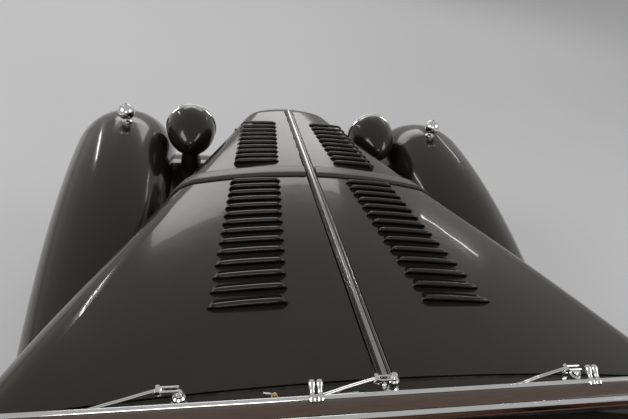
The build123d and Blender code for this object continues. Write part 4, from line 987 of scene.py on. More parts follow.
class ROADSTER_OT_windscreen(bpy.types.Operator):
    """Builds the windscreen frame, its banded rail with pegs, the glass seal and the wipers"""

    bl_idname = "roadster.windscreen"
    bl_label = "Windscreen"

    FOOT = np.array([at(-1335), 0, 0.985])
    TOP = np.array([at(-1466), 0, 1.200])
    HALF = 0.560

    def rail(self):
        chrome, band = Shape(), Shape()
        ends = np.linspace([self.TOP[0], -self.HALF - 0.014, self.TOP[2]], [self.TOP[0], self.HALF + 0.014, self.TOP[2]], 2)
        outline = np.array([(-0.0135, -0.008), (0.0135, -0.008), (0.0155, -0.005), (0.0155, 0.004), (0.0105, 0.0052),
                            (-0.0105, 0.0052), (-0.0155, 0.004), (-0.0155, -0.005)])
        chrome.grid(carried(ends, outline))
        for step in (-0.0125, 0.0125):
            chrome.tube(ends + [step, 0, 0.0048], 0.0034, 14)
        inlay = np.array([(-0.0094, 0.0045), (0.0094, 0.0045), (0.0092, 0.0066), (0.005, 0.0078), (-0.005, 0.0078), (-0.0092, 0.0066)])
        band.grid(carried(ends * [1, 0.998, 1], inlay))
        lean = self.TOP - self.FOOT
        out = np.array([lean[2], 0, -lean[0]]) / np.linalg.norm(lean)
        peg = [(0.010, 0.0), (0.010, 0.0040), (0.0155, 0.0040), (0.017, 0.0029), (0.021, 0.0026), (0.0235, 0.0032),
               (0.0275, 0.0039), (0.030, 0.0036), (0.032, 0.0022), (0.0325, 0.0)]
        for middle in (0.182, -0.1535):
            for step in (-0.0042, 0.0042):
                chrome.turn(peg, self.TOP + [0, middle + step, 0], out, 24)
        return chrome, band

    def frame(self, chrome):
        foot, top = self.FOOT, self.TOP
        low = foot + (top - foot) * -0.22
        for y in (self.HALF, -self.HALF):
            line = np.linspace([low[0], y, low[2]], [top[0] - 0.0015, y, top[2] - 0.006], 2)
            section = np.array([(-0.0085, -0.006), (0.0085, -0.006), (0.0095, 0.0), (0.0085, 0.006), (-0.0085, 0.006), (-0.0095, 0.0)])
            chrome.grid(carried(line, section, up=(1, 0, 0)))
            knob = foot + (top - foot) * 0.02
            profile = [(-0.012, 0.0), (-0.012, 0.010), (0.010, 0.011), (0.014, 0.008), (0.024, 0.0085), (0.027, 0.0)]
            chrome.turn(profile, (knob[0], y, knob[2]), (0, 1 if y > 0 else -1, 0), 28)
            chrome.turn([(0.0, 0.0), (0.0, 0.030), (0.004, 0.030), (0.009, 0.018), (0.013, 0.0)], (low[0] - 0.008, y, 0.968), (0, 0, 1), 32)
        base = foot + (top - foot) * 0.07
        bar = np.linspace([base[0], -self.HALF, base[2]], [base[0], self.HALF, base[2]], 2)
        chrome.tube(bar, 0.0078, 16)
        chrome.piece("screen_frame", "chassis", finish("chrome"), "chrome", ["windscreen_frame"])
        seal = Shape()
        seat = foot + (top - foot) * 0.02
        lip = np.array([(-0.006, -0.018), (0.006, -0.018), (0.0045, 0.006), (-0.0045, 0.006)])
        seal.grid(carried(np.linspace([seat[0], -self.HALF + 0.02, seat[2]], [seat[0], self.HALF - 0.02, seat[2]], 2), lip))
        seal.piece("screen_seal", "chassis", finish("seal"), "chrome", bevel=0.001)

    def wipers(self):
        """Each wiper: a post with a nut, a short link, a spring coil and a bent arm whose
        blade rests at the foot of the glass."""
        chrome, rubber, brass = Shape(), Shape(), Shape()
        for y in (0.333, -0.003, -0.345):
            x, z = at(-1277), deck_height(at(-1277), y)
            post = [(-0.003, 0.0), (-0.003, 0.014), (0.002, 0.0135), (0.006, 0.0085), (0.014, 0.0072), (0.016, 0.0098),
                    (0.023, 0.0098), (0.026, 0.007), (0.030, 0.0075), (0.034, 0.005), (0.035, 0.0)]
            chrome.turn(post, (x, y, z), (0, 0, 1), 32)
            head, elbow = np.array([x, y, 1.002]), np.array([x - 0.003, y + 0.030, 1.006])
            for side in (-0.004, 0.004):
                chrome.tube(np.linspace(head + [side, 0, 0], elbow + [side, 0, 0], 2), 0.0019, 10)
            chrome.turn([(-0.0065, 0.0), (-0.0065, 0.004), (0.0065, 0.004), (0.0065, 0.0)], elbow, (1, 0, 0), 16)
            t = np.linspace(0, 1, 64)
            coil = elbow + [0, -0.001, -0.0065] + np.stack(
                [0.007 * (t - 0.5), 0.0062 * np.cos(t * 6 * pi), 0.0062 * np.sin(t * 6 * pi)], axis=1)
            chrome.tube(coil, 0.0011, 8, up=(1, 0, 0))
            hook = elbow + np.array([(0.004, -0.006, -0.002), (0.004, -0.010, -0.012), (0.004, -0.006, -0.022)])
            chrome.tube(smooth_line(hook, 12), 0.0012, 8, up=(1, 0, 0))
            end = np.array([at(-1303), y + 0.235, 0.0])
            end[2] = deck_height(end[0], end[1]) + 0.014
            bend = np.array([at(-1292), y + 0.128, max(0.984, deck_height(end[0], y + 0.128) + 0.012)])
            arm = smooth_line([elbow, elbow * 0.5 + bend * 0.5, bend, end], 30)
            for side in (-0.0016, 0.0016):
                chrome.tube(arm + [side, 0, 0], 0.0015, 8)
            middle, reach = arm[-9], np.array([-0.004, 0.085, 0.0])
            bow = np.linspace(-1, 1, 17)[:, None]
            line = middle + reach * bow
            line[:, 2] = deck_height(line[:, 0], line[:, 1]) + 0.0085
            bar = np.array([(-0.0032, -0.0010), (0.0032, -0.0010), (0.0032, 0.0010), (-0.0032, 0.0010)])
            lip = np.array([(-0.0026, -0.0035), (0.0026, -0.0035), (0.0012, 0.0035), (-0.0012, 0.0035)])
            chrome.grid(carried(line, bar))
            rubber.grid(carried(line - [0, 0, 0.0042], lip))
        jet = np.array([at(-1279), 0.188, deck_height(at(-1279), 0.188)])
        brass.turn([(-0.002, 0.0), (-0.002, 0.0055), (0.003, 0.0055), (0.004, 0.0038), (0.008, 0.0036), (0.0095, 0.0)], jet, (0, 0, 1), 20)
        chrome.tube(smooth_line([jet + [0, 0, 0.006], jet + [0.001, 0.007, 0.009], jet + [0.003, 0.018, 0.009]], 8), 0.0015, 10)
        chrome.piece("wiper_arms", "chassis", finish("chrome"), "chrome", ["wipers"])
        rubber.piece("wiper_blades", "chassis", finish("seal"), "chrome")
        brass.piece("screen_jet", "chassis", finish("brass"), "chrome")

    def execute(self, context):
        chrome, band = self.rail()
        self.frame(chrome)
        band.piece("rail_band", "chassis", finish("rail_band"), "chrome", bevel=0.0008)
        self.wipers()
        return {"FINISHED"}


class ROADSTER_OT_wheels(bpy.types.Operator):
    """Dresses the wheels: treaded tyres, spinners and valves"""

    bl_idname = "roadster.wheels"
    bl_label = "Wheels and tyres"

    TYRE_RADIUS = 0.340
    AROUND = 400

    def tyre_grid(self):
        """Radius from the section's two arcs, less grooves: ribs divided by zigzag channels,
        notched shoulders and a few fine rings on the sidewalls."""
        across = np.array([
            (0.0513, 0.2033), (0.0507, 0.216), (0.0545, 0.222), (0.0590, 0.234), (0.0640, 0.249),
            (0.0680, 0.264), (0.0698, 0.277), (0.0690, 0.289), (0.0660, 0.300), (0.0625, 0.309),
            (0.0575, 0.318), (0.0545, 0.3222)])
        crown = np.linspace(0.0525, 0.0, 26)
        radius = 0.340 - 0.0168 * (crown / 0.0545) ** 2.2
        half = np.vstack([across, np.stack([crown, radius], axis=1)])
        section = np.vstack([half, half[-2::-1] * [-1, 1]])
        angle = np.arange(self.AROUND) * 2 * pi / self.AROUND
        y = section[None, :, 0] + 0 * angle[:, None]
        r = section[None, :, 1] + 0 * angle[:, None]
        wave = 0.0028 * np.sign(np.sin(angle * 50))[:, None]
        for centre in (-0.030, -0.010, 0.010, 0.030):
            r -= 0.0062 * np.exp(-(((y - centre - wave) / 0.0022) ** 4)) * (r > 0.324)
        notch = (np.sin(angle * 50)[:, None] > 0.35) & (np.abs(y) > 0.0395) & (r > 0.312)
        r -= 0.0045 * notch
        ring = (np.abs(r - 0.262) < 0.0016) | (np.abs(r - 0.232) < 0.0016)
        y = y + np.sign(y) * 0.0009 * ring
        points = np.stack([r * np.cos(angle)[:, None], y, r * np.sin(angle)[:, None]], axis=-1)
        return points

    def place(self, grid, name):
        low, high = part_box(name)
        middle = (np.array(low) + np.array(high)) / 2
        return grid + middle

    def execute(self, context):
        tyre = self.tyre_grid()
        for corner in ("front_left", "front_right", "rear_left", "rear_right"):
            node = f"tyre_{corner}"
            shape = Shape().grid(self.place(tyre, node), wrap_u=True)
            shape.piece(f"tread_{corner}", f"{corner}_wheel", finish("rubber"), "tyre", [node])
            self.trim(corner)
        tilt = radians(27)
        spare = tyre[..., [0, 2, 1]] * [1, 1, 1]
        turn = np.array([[cos(tilt), 0, -sin(tilt)], [0, 1, 0], [sin(tilt), 0, cos(tilt)]])
        spare = spare @ turn.T
        shape = Shape().grid(self.place(spare, "spare_tyre"), wrap_u=True)
        shape.piece("tread_spare", "chassis", finish("rubber"), "tyre", ["spare_tyre"])
        return {"FINISHED"}

    def trim(self, corner):
        low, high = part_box(f"tyre_{corner}")
        sign = 1 if "left" in corner else -1
        x, z = (low.x + high.x) / 2, (low.z + high.z) / 2
        y = (low.y + high.y) / 2
        chrome, valve = Shape(), Shape()
        cap = [(0.050, 0.0), (0.050, 0.0445), (0.053, 0.0455), (0.056, 0.042), (0.0575, 0.030), (0.0555, 0.026), (0.0585, 0.018), (0.0615, 0.008), (0.062, 0.0)]
        chrome.turn(np.array(cap) * [0.9, 1], (x, y + sign * 0.001, z), (0, sign, 0), 64)
        ear = np.linspace(-1, 1, 33)
        reach = 0.072 * ear
        width = 0.0125 * (0.55 + 0.6 * np.abs(ear) ** 1.5) * np.sqrt(np.clip(1.0 - np.abs(ear) ** 9, 0.02, 1))
        rise = 0.050 + 0.006 * np.abs(ear) ** 2
        section = circle(12)
        grid = np.stack([
            x + reach[:, None] + 0 * section[None, :, 0],
            y + sign * (rise[:, None] + 0.0052 * section[None, :, 0] * np.sqrt(np.clip(1 - np.abs(ear) ** 9, 0.05, 1))[:, None]),
            z + width[:, None] * section[None, :, 1]], axis=-1)
        chrome.grid(grid)
        chrome.piece(f"spinner_{corner}", f"{corner}_wheel", finish("chrome"), "chrome")
        valve.turn([(0.0, 0.0), (0.0, 0.004), (0.022, 0.004), (0.024, 0.0055), (0.032, 0.005), (0.033, 0.0)], (x, y + sign * 0.020, z + 0.182), (0, sign, -0.35), 14)
        valve.piece(f"valve_{corner}", f"{corner}_wheel", finish("chrome"), "chrome")


class ROADSTER_OT_strap(bpy.types.Operator):
    """Lays the two lengths of the leather bonnet strap, with their buckles"""

    bl_idname = "roadster.strap"
    bl_label = "Bonnet strap"

    REAR = at(-520)
    GAP, THICK, LAYER = 0.001, 0.0036, 0.0018

    def section(self):
        """Across the strap from the rear edge: a thick base whose rear margin is bare, and a
        second, smooth layer over the rest."""
        across = np.array([0, 0.6, 2.0, 6.5, 11.0, 11.8, 13, 18, 26, 34, 42, 49, 54.2, 56.3, 57]) * MM
        base, layer = self.THICK, self.LAYER
        rise = np.array([0.35, 0.8, 1, 1.02, 1, 1, 1, 1, 1, 1, 1, 1, 1, 0.8, 0.3]) * base
        rise += np.array([0, 0, 0, 0, 0, 0.5, 1, 1.1, 1.15, 1.15, 1.15, 1.1, 1, 0.6, 0]) * layer
        return across, rise

    def execute(self, context):
        across, rise = self.section()
        for side, sign in SIDES.items():
            angles = np.linspace(radians(2.9), radians(74.0), 110) * sign
            skin, normal = wrapped(f"bonnet_{side}", self.REAR + across, angles)
            normal = normal / np.linalg.norm(normal, axis=-1, keepdims=True)
            rough = np.sin(np.arange(110) * 2.13) + np.sin(np.arange(110) * 0.71)
            outer = skin + normal * (self.GAP + rise)[:, None, None]
            outer[0, :, 0] -= 0.0004 * rough
            inner = skin + normal * self.GAP
            ring = np.concatenate([outer, inner[::-1]]).transpose(1, 0, 2)
            strap = Shape().grid(ring)
            strap.piece(f"strap_hide_{side}", f"{side}_bonnet", finish("strap"), "strap_leather", [f"strap_{side}"])
            self.buckle(side, skin, normal)
        return {"FINISHED"}

    def buckle(self, side, skin, normal):
        """A rectangular wire buckle and its tongue, low on the side."""
        chrome = Shape()
        rows, low, high = (0, -1), 98, 106
        loop = []
        for i, j in ((rows[0], low), (rows[1], low), (rows[1], high), (rows[0], high)):
            loop.append(skin[i, j] + normal[i, j] * 0.0085)
        loop = np.array(loop)
        middle = loop.mean(axis=0)
        loop = middle + (loop - middle) * [1.10, 1.0, 1.0]
        path = np.vstack([np.linspace(loop[k], loop[(k + 1) % 4], 6, endpoint=False) for k in range(4)])
        chrome.tube(path, 0.0026, 10, closed=True, up=tuple(normal[7, 102]))
        chrome.tube(np.linspace(loop[0] * 0.5 + loop[1] * 0.5, loop[2] * 0.5 + loop[3] * 0.5, 2), 0.0024, 10, up=(1, 0, 0))
        chrome.piece(f"strap_buckle_{side}", f"{side}_bonnet", finish("chrome"), "chrome")


class ROADSTER_OT_seats(bpy.types.Operator):
    """Upholsters the two seats: pleated cushions and backs with piped edges"""

    bl_idname = "roadster.seats"
    bl_label = "Seats"

    PLEATS = 9
    PIPING = 0.0045

    def panel(self, name, transform, sizes, pleats, replaced):
        """One cushion with its piping, placed by a 4 by 4 matrix; both seats share it."""
        half_x, half_y, depth, crown, bulge = sizes
        top, band, under, rim = pillow(half_x, half_y, depth, crown, bulge, pleats)
        turn, shift = np.array(transform)[:3, :3], np.array(transform)[:3, 3]
        hide, cord = Shape(), Shape()
        for sign in SIDES.values():
            move = shift * [1, sign, 1]
            hide.grid(top @ turn.T + move, wrap_v=False)
            hide.grid(band @ turn.T + move, ends=False)
            hide.grid(under @ turn.T + move, wrap_v=False)
            line = rim[::2] * [1.004, 1.004, 1] + [0, 0, 0.001]
            cord.tube(line @ turn.T + move, self.PIPING, 8, closed=True, up=tuple(turn[:, 2]))
        made = hide.piece(name, "chassis", finish("leather"), "leather", replaced)
        cord.piece(f"{name}_piping", "chassis", finish("piping"), "leather")

    def execute(self, context):
        low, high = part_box("seat_cushions")
        width, length = 0.225, (high.x - low.x) / 2
        place = Matrix.Translation(((low.x + high.x) / 2, 0.275, low.z + 0.064))
        self.panel("seat_pads", place, (length - 0.008, width - 0.010, 0.112, 0.024, 0.008), self.PLEATS, ["seat_cushions"])
        low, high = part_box("seat_backs")
        rake = radians(8)
        along = Vector((sin(rake), 0, -cos(rake)))
        up = Vector((cos(rake), 0, sin(rake)))
        turn = Matrix((along, (0, 1, 0), up)).transposed().to_4x4()
        height = (high.z - low.z) / 2
        middle = Vector((high.x - 0.0275, 0.275, (low.z + high.z) / 2)) - along * 0.0 + Vector((-height * np.tan(rake) - 0.001, 0, 0))
        place = Matrix.Translation(middle) @ turn
        self.panel("seat_squabs", place, (height - 0.004, width - 0.010, 0.040, 0.020, 0.006), self.PLEATS, ["seat_backs"])
        return {"FINISHED"}


class ROADSTER_OT_cockpit(bpy.types.Operator):
    """Fits dials, knobs, wheel, levers, pedals, carpets, door trims and padded edges"""

    bl_idname = "roadster.cockpit"
    bl_label = "Cockpit"

    DASH = at(-1440)
    DIAL_Z = 0.862
    DIALS = ((0.390, 0.050), (0.270, 0.050), (0.120, 0.038), (0.020, 0.038), (-0.080, 0.038), (-0.180, 0.038))
    RAKE = radians(62)
    HUB = (at(-1705), 0.330, 0.860)

    def dials(self):
        bezels, faces, marks, glasses = Shape(), Shape(), Shape(), Shape()
        back = (-1, 0, 0)
        for number, (y, radius) in enumerate(self.DIALS):
            centre = np.array([self.DASH - 0.004, y, self.DIAL_Z])
            turn = np.linspace(0, 2 * pi, 12, endpoint=False)
            ring = np.stack([0.005 + 0.004 * np.sin(turn), radius - 0.0025 + 0.0038 * np.cos(turn)], axis=1)
            bezels.grid(turned(ring, centre, back, 64), wrap_u=True)
            faces.turn([(-0.003, 0.0), (-0.003, radius - 0.005), (0.0005, radius - 0.005), (0.0005, 0.0)], centre, back, 48)
            inner = radius - 0.006
            sweep = radians(270)
            for k in range(31 if radius > 0.04 else 19):
                count = 30 if radius > 0.04 else 18
                a = radians(225) - sweep * k / count
                major = k % 3 == 0
                reach = 0.2 if major else 0.1
                spot = inner * (1 - reach / 2 - 0.05)
                place = centre + [-0.0009, -spot * cos(a), spot * sin(a)]
                size = (0.0004, inner * reach, 0.0012 if major else 0.0007)
                marks.slab(place, size, Matrix.Rotation(pi - a, 3, "X"))
            a = radians(200 - 40 * (number % 4))
            tip = inner * 0.78
            place = centre + [-0.0026, -tip * 0.4 * cos(a), tip * 0.4 * sin(a)]
            marks.slab(place, (0.0005, tip, 0.0012), Matrix.Rotation(pi - a, 3, "X"))
            bezels.turn([(0.0015, 0.0), (0.0015, 0.004), (0.0035, 0.0036), (0.004, 0.0)], centre, back, 20)
            r = np.linspace(0, 1, 8)
            glasses.turn(np.vstack([np.stack([0.006 + 0.002 * (1 - r**2), inner * r], axis=1), [[0.0052, 0.0]]]), centre, back, 40)
        for y in (0.335, 0.195, 0.07, -0.03, -0.13, -0.235, -0.275, -0.315):
            knob = [(0.0, 0.0), (0.0, 0.0055), (0.010, 0.0045), (0.012, 0.008), (0.022, 0.0085), (0.024, 0.006), (0.0245, 0.0)]
            bezels.turn(knob, (self.DASH - 0.0005, y, 0.8205), back, 24)
        bezels.piece("dial_bezels", "chassis", finish("chrome"), "chrome")
        faces.piece("dial_faces", "chassis", finish("dial"), "dash_paint")
        marks.piece("dial_marks", "chassis", finish("marking"), "dash_paint", flat=True)
        glasses.piece("dial_glasses", "chassis", finish("glass"), "glass")

    def wheel(self):
        out = np.array([-sin(self.RAKE), 0, cos(self.RAKE)])
        side = np.array([0, 1.0, 0])
        top = np.cross(out, side)
        hub = np.array(self.HUB)
        rim, spokes = Shape(), Shape()
        a = np.arange(240) * 2 * pi / 240
        ring = hub + 0.205 * (np.cos(a)[:, None] * side + np.sin(a)[:, None] * top)
        swell = 0.0118 + 0.0014 * np.cos(a * 40)
        profile = circle(18)[None] * swell[:, None, None]
        rim.grid(carried(ring, profile, True, tuple(out)), wrap_u=True)
        rim.piece("wheel_rim_grip", "steering", finish("bakelite"), "wheel_rim_plastic", ["steering_wheel"])
        for angle in (90, 210, 330):
            way = cos(radians(angle)) * side + sin(radians(angle)) * top
            cross = np.cross(out, way)
            for step in (-0.0105, -0.0035, 0.0035, 0.0105):
                line = hub + cross * step * np.linspace(0.7, 1.0, 6)[:, None] + way * np.linspace(0.030, 0.197, 6)[:, None]
                line = line - out * 0.012 * np.cos(np.linspace(0, 1, 6) * pi / 2)[:, None]
                spokes.tube(line, 0.0022, 8, up=tuple(out))
            spokes.grid(carried(np.array([hub + way * 0.17 - cross * 0.015, hub + way * 0.17 + cross * 0.015]), circle(8, 0.0032), up=tuple(out)))
        boss = [(-0.020, 0.0), (-0.020, 0.026), (-0.012, 0.032), (-0.002, 0.033), (0.004, 0.030), (0.006, 0.026), (0.010, 0.022), (0.016, 0.014), (0.018, 0.0)]
        spokes.turn(boss, hub, out, 48)
        spokes.piece("wheel_spokes", "steering", finish("chrome"), "chrome")

    def levers(self):
        chrome, black, pads = Shape(), Shape(), Shape()
        gear = smooth_line([(at(-1560), 0.0, 0.44), (at(-1580), 0.0, 0.54), (at(-1600), 0.0, 0.645)], 14)
        chrome.tube(gear, 0.0065, 14, up=(0, 1, 0))
        black.turn([(-0.012, 0.0), (-0.012, 0.012), (-0.004, 0.020), (0.008, 0.0215), (0.020, 0.016), (0.025, 0.0)], gear[-1], (-0.17, 0, 1), 36)
        folds = np.linspace(0, 1, 40)
        black.turn(np.vstack([[0, 0], np.stack([0.07 * folds, 0.052 * (1 - folds) + 0.010 + 0.004 * np.cos(folds * 5 * 2 * pi)], axis=1), [0.07, 0]]), (at(-1552), 0, 0.417), (-0.2, 0, 1), 40)
        brake = smooth_line([(at(-1700), 0.0, 0.43), (at(-1760), 0.0, 0.52), (at(-1850), 0.0, 0.60)], 12)
        chrome.tube(brake, 0.0075, 14, up=(0, 1, 0))
        way = brake[-1] - brake[-2]
        black.turn([(-0.09, 0.0), (-0.09, 0.010), (-0.085, 0.0125), (-0.01, 0.0125), (-0.004, 0.010), (-0.004, 0.0)], brake[-1], way, 28)
        chrome.turn([(-0.004, 0.0), (-0.004, 0.005), (0.010, 0.005), (0.012, 0.0)], brake[-1], way, 20)
        for y in (0.42, 0.33, 0.24):
            foot = np.array([at(-1330), y, 0.56])
            arm = smooth_line([foot + [0.02, 0, -0.14], foot + [0.03, 0, -0.06], foot], 10)
            chrome.tube(arm, 0.006, 12, up=(0, 1, 0))
            turn = Matrix.Rotation(radians(-35), 3, "Y")
            pads.slab(foot + [-0.006, 0, 0.004], (0.014, 0.058, 0.066), turn)
            for k in range(5):
                pads.slab(foot + np.array(turn @ Vector((-0.0075, 0, (k - 2) * 0.012))) + [-0.006, 0, 0.004], (0.004, 0.050, 0.005), turn)
        chrome.piece("lever_rods", "chassis", finish("chrome"), "chrome")
        black.piece("lever_grips", "chassis", finish("bakelite"), "wheel_rim_plastic")
        pads.piece("pedal_pads", "chassis", finish("seal"), "tyre", bevel=0.0015)

    def linings(self):
        floor = Shape()
        deck = 0.4152
        for x0, x1, y0, y1 in ((-1300, -1612, 0.03, 0.66), (-1300, -1612, -0.66, -0.03), (-1612, -2170, -0.045, 0.045)):
            floor.slab((at((x0 + x1) / 2), (y0 + y1) / 2, deck + 0.003), (abs(x1 - x0) * MM, y1 - y0, 0.006))
        floor.piece("floor_carpets", "chassis", finish("carpet"), "leather", bevel=0.0025)
        for side, sign in SIDES.items():
            card = Shape()
            top, band, under, rim = pillow(0.165, 0.225, 0.004, 0.003, 0.001, 12, 0.002, samples=(30, 120))
            turn = np.array([[0, 1, 0], [0, 0, -sign], [1, 0, 0]])
            move = np.array([at(-1675), sign * 0.6845, 0.615])
            for grid, wrap, ends in ((top, False, True), (band, True, False), (under, False, True)):
                card.grid(grid @ turn.T + move, wrap_v=wrap, ends=ends)
            card.piece(f"door_trim_{side}", f"{side}_door", finish("leather"), "leather")

    def edges(self):
        roll = Shape()
        y = np.linspace(-0.50, 0.50, 60)
        for x, drop in ((-1497, 0.010), (-2186, 0.010)):
            line = np.stack([np.full(60, at(x)), y, deck_height(at(x), y) - drop], axis=1)
            roll.tube(line, 0.017, 16)
        roll.piece("cockpit_rolls", "chassis", finish("leather"), "leather")

    def execute(self, context):
        self.dials()
        self.wheel()
        self.levers()
        self.linings()
        self.edges()
        return {"FINISHED"}


class ROADSTER_OT_nose(bpy.types.Operator):
    """Fits the grille bars, their chrome surround and the beading of the front wings"""

    bl_idname = "roadster.nose"
    bl_label = "Nose and wing beading"

    FACE = at(110)
    BARS = 15

    def outline(self, shrink, count=24):
        """Right half of the nose's face, from the top middle to the bottom: a wide crown arc,
        a shoulder arc tangent to it and an upright side. Points (y, z)."""
        w, r, crown, top, low = 0.136 - shrink, 0.095 - shrink, 0.260 - shrink, 0.846 - shrink, 0.392
        middle = top - crown
        shoulder = middle + sqrt((crown - r) ** 2 - (w - r) ** 2)
        lean = atan2(w - r, shoulder - middle)
        a, b = np.linspace(0, lean, count), np.linspace(lean, pi / 2, count)
        arc = np.stack([crown * np.sin(a), middle + crown * np.cos(a)], axis=1)
        bend = np.stack([w - r + r * np.sin(b), shoulder + r * np.cos(b)], axis=1)
        return np.vstack([arc, bend[1:], [[w, shoulder * 0.5 + low * 0.5], [w, low]]])

    def execute(self, context):
        chrome, bars, bead = Shape(), Shape(), Shape()
        half = self.outline(0.004)
        ring = np.vstack([half[::-1] * [-1, 1], half[1:]])
        path = np.column_stack([np.full(len(ring), self.FACE + 0.001), ring])
        chrome.tube(path, 0.0058, 14, up=(1, 0, 0))
        chrome.piece("grille_surround", "chassis", finish("chrome"), "chrome")
        inside = self.outline(0.012)
        for n in range(self.BARS):
            y = (n - (self.BARS - 1) / 2) * 0.0162
            top = np.interp(abs(y), inside[:-2, 0], inside[:-2, 1])
            bow = np.linspace(0, 1, 12)
            line = np.stack([self.FACE - 0.014 + 0.004 * np.sin(bow * pi), np.full(12, y), 0.395 + (top - 0.395) * bow], axis=1)
            blade = np.array([(-0.0022, -0.007), (0.0022, -0.007), (0.0026, 0.004), (0.0, 0.0075), (-0.0026, 0.004)])
            bars.grid(carried(line, blade[:, ::-1] * [1, 1], up=(0, 1, 0)))
        for z in (0.47, 0.62, 0.75):
            reach = 0.112 if z < 0.74 else 0.105
            bars.tube(np.array([[self.FACE - 0.020, -reach, z], [self.FACE - 0.020, reach, z]]), 0.0035, 10)
        bars.piece("grille_bars", "chassis", finish("chrome"), "chrome", ["grille"])
        front = np.linspace(radians(46), pi / 2, 40)
        back = np.linspace(pi / 2, radians(107), 40)[1:]
        x = np.concatenate([at(-10) + 0.271 * np.cos(front), at(-10) + 2.071 * np.cos(back)])
        z = np.concatenate([0.400 + 0.271 * np.sin(front), -1.400 + 2.071 * np.sin(back)])
        line = np.stack([x, np.full(len(x), 0.4225), z], axis=1)
        bead.tube(line, 0.0042, 12, up=(0, 1, 0))
        bead.mirrored().piece("wing_beading", "chassis", finish("paint"), "paint")
        return {"FINISHED"}


class ROADSTER_OT_trim(bpy.types.Operator):
    """Fits door handles, the filler cap, the spare wheel's nut, the number plate and the
    exhaust's end ring"""

    bl_idname = "roadster.trim"
    bl_label = "Body trim"

    def handles(self):
        for side, sign in SIDES.items():
            chrome = Shape()
            skin = 0.7072 * sign
            place = np.array([at(-1845), skin, 0.710])
            chrome.turn([(-0.001, 0.0), (-0.001, 0.021), (0.002, 0.0205), (0.005, 0.013), (0.005, 0.0)], place, (0, sign, 0), 36)
            chrome.turn([(0.0, 0.0), (0.0, 0.0095), (0.030, 0.0085), (0.046, 0.0105), (0.050, 0.0)], place, (0, sign, 0), 24)
            a = np.linspace(0, 1, 24)
            line = place + np.stack([-0.020 + 0.114 * a, sign * (0.034 + 0.004 * np.sin(a * pi)), 0 * a], axis=1)
            size = 0.0092 * np.sqrt(np.clip(1 - np.abs(2 * a - 1) ** 12, 0.03, 1))
            chrome.grid(carried(line, circle(14)[None] * size[:, None, None] * [1.0, 1.15]))
            chrome.piece(f"door_handle_{side}", f"{side}_door", finish("chrome"), "chrome")

    def filler(self, chrome):
        x, y = at(-2330), 0.300
        z = float(deck_height(x, y))
        lean = (0.16, y / 3.0, 1.0)
        profile = [(-0.012, 0.0), (-0.012, 0.044), (0.001, 0.044), (0.004, 0.040), (0.006, 0.034), (0.016, 0.034),
                   (0.020, 0.031), (0.022, 0.022), (0.0235, 0.0)]
        chrome.turn(profile, (x, y, z), lean, 60)
        lift = np.array([0.0, 0.0, 0.026])
        chrome.tube(smooth_line([(x - 0.030, y, z + 0.014), (x - 0.018, y, z + 0.028), (x + 0.022, y, z + 0.024), (x + 0.046, y, z + 0.004)], 18), 0.0042, 12, up=(0, 1, 0))
        chrome.turn([(-0.016, 0.0), (-0.016, 0.0055), (0.016, 0.0055), (0.016, 0.0)], np.array([x - 0.036, y, z + 0.006]) + lift * 0.1, (0, 1, 0), 20)

    def spare_nut(self, chrome):
        low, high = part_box("spare_tyre")
        middle = (np.array(low) + np.array(high)) / 2
        tilt = radians(27)
        out, across = np.array([-sin(tilt), 0, cos(tilt)]), np.array([0, 1.0, 0])
        top = np.cross(out, across)
        foot = middle + out * 0.050
        chrome.turn([(0.0, 0.0), (0.0, 0.048), (0.004, 0.050), (0.010, 0.044), (0.014, 0.030), (0.020, 0.026), (0.026, 0.020), (0.030, 0.0)], foot, out, 56)
        for angle in (90, 210, 330):
            way = cos(radians(angle)) * across + sin(radians(angle)) * top
            a = np.linspace(0, 1, 14)
            line = foot + out * (0.012 + 0.010 * a[:, None]) + way * (0.018 + 0.060 * a[:, None])
            size = 0.0095 * np.sqrt(np.clip(1 - a**6, 0.03, 1)) * (0.8 + 0.5 * a)
            chrome.grid(carried(line, circle(12)[None] * size[:, None, None], up=tuple(out)))

    def plate(self, chrome):
        dark = Shape()
        x, z = -1.9285, 0.470
        dark.slab((x, 0, z), (0.005, 0.270, 0.110))
        frame_line = np.array([(-0.135, -0.055), (0.135, -0.055), (0.135, 0.055), (-0.135, 0.055)])
        path = np.vstack([np.linspace(frame_line[k], frame_line[(k + 1) % 4], 8, endpoint=False) for k in range(4)])
        path = np.column_stack([np.full(len(path), x - 0.002), path[:, 0], z + path[:, 1]])
        chrome.tube(path, 0.0035, 10, closed=True, up=(1, 0, 0))
        chrome.turn([(-0.040, 0.0), (-0.040, 0.011), (0.040, 0.011), (0.040, 0.0)], (x - 0.002, 0, z + 0.070), (0, 1, 0), 24)
        dark.piece("number_plate", "chassis", finish("seal"), "chassis_black", bevel=0.002)

    def execute(self, context):
        self.handles()
        chrome = Shape()
        self.filler(chrome)
        self.spare_nut(chrome)
        self.plate(chrome)
        ring = [(-0.060, 0.0243), (-0.060, 0.0262), (-0.056, 0.0272), (0.000, 0.0272), (0.003, 0.0262), (0.003, 0.0243)]
        chrome.grid(turned(ring, (at(-3330), -0.200, 0.222), (-1, 0, 0), 48), wrap_u=True)
        chrome.piece("tail_trim", "chassis", finish("chrome"), "chrome")
        return {"FINISHED"}


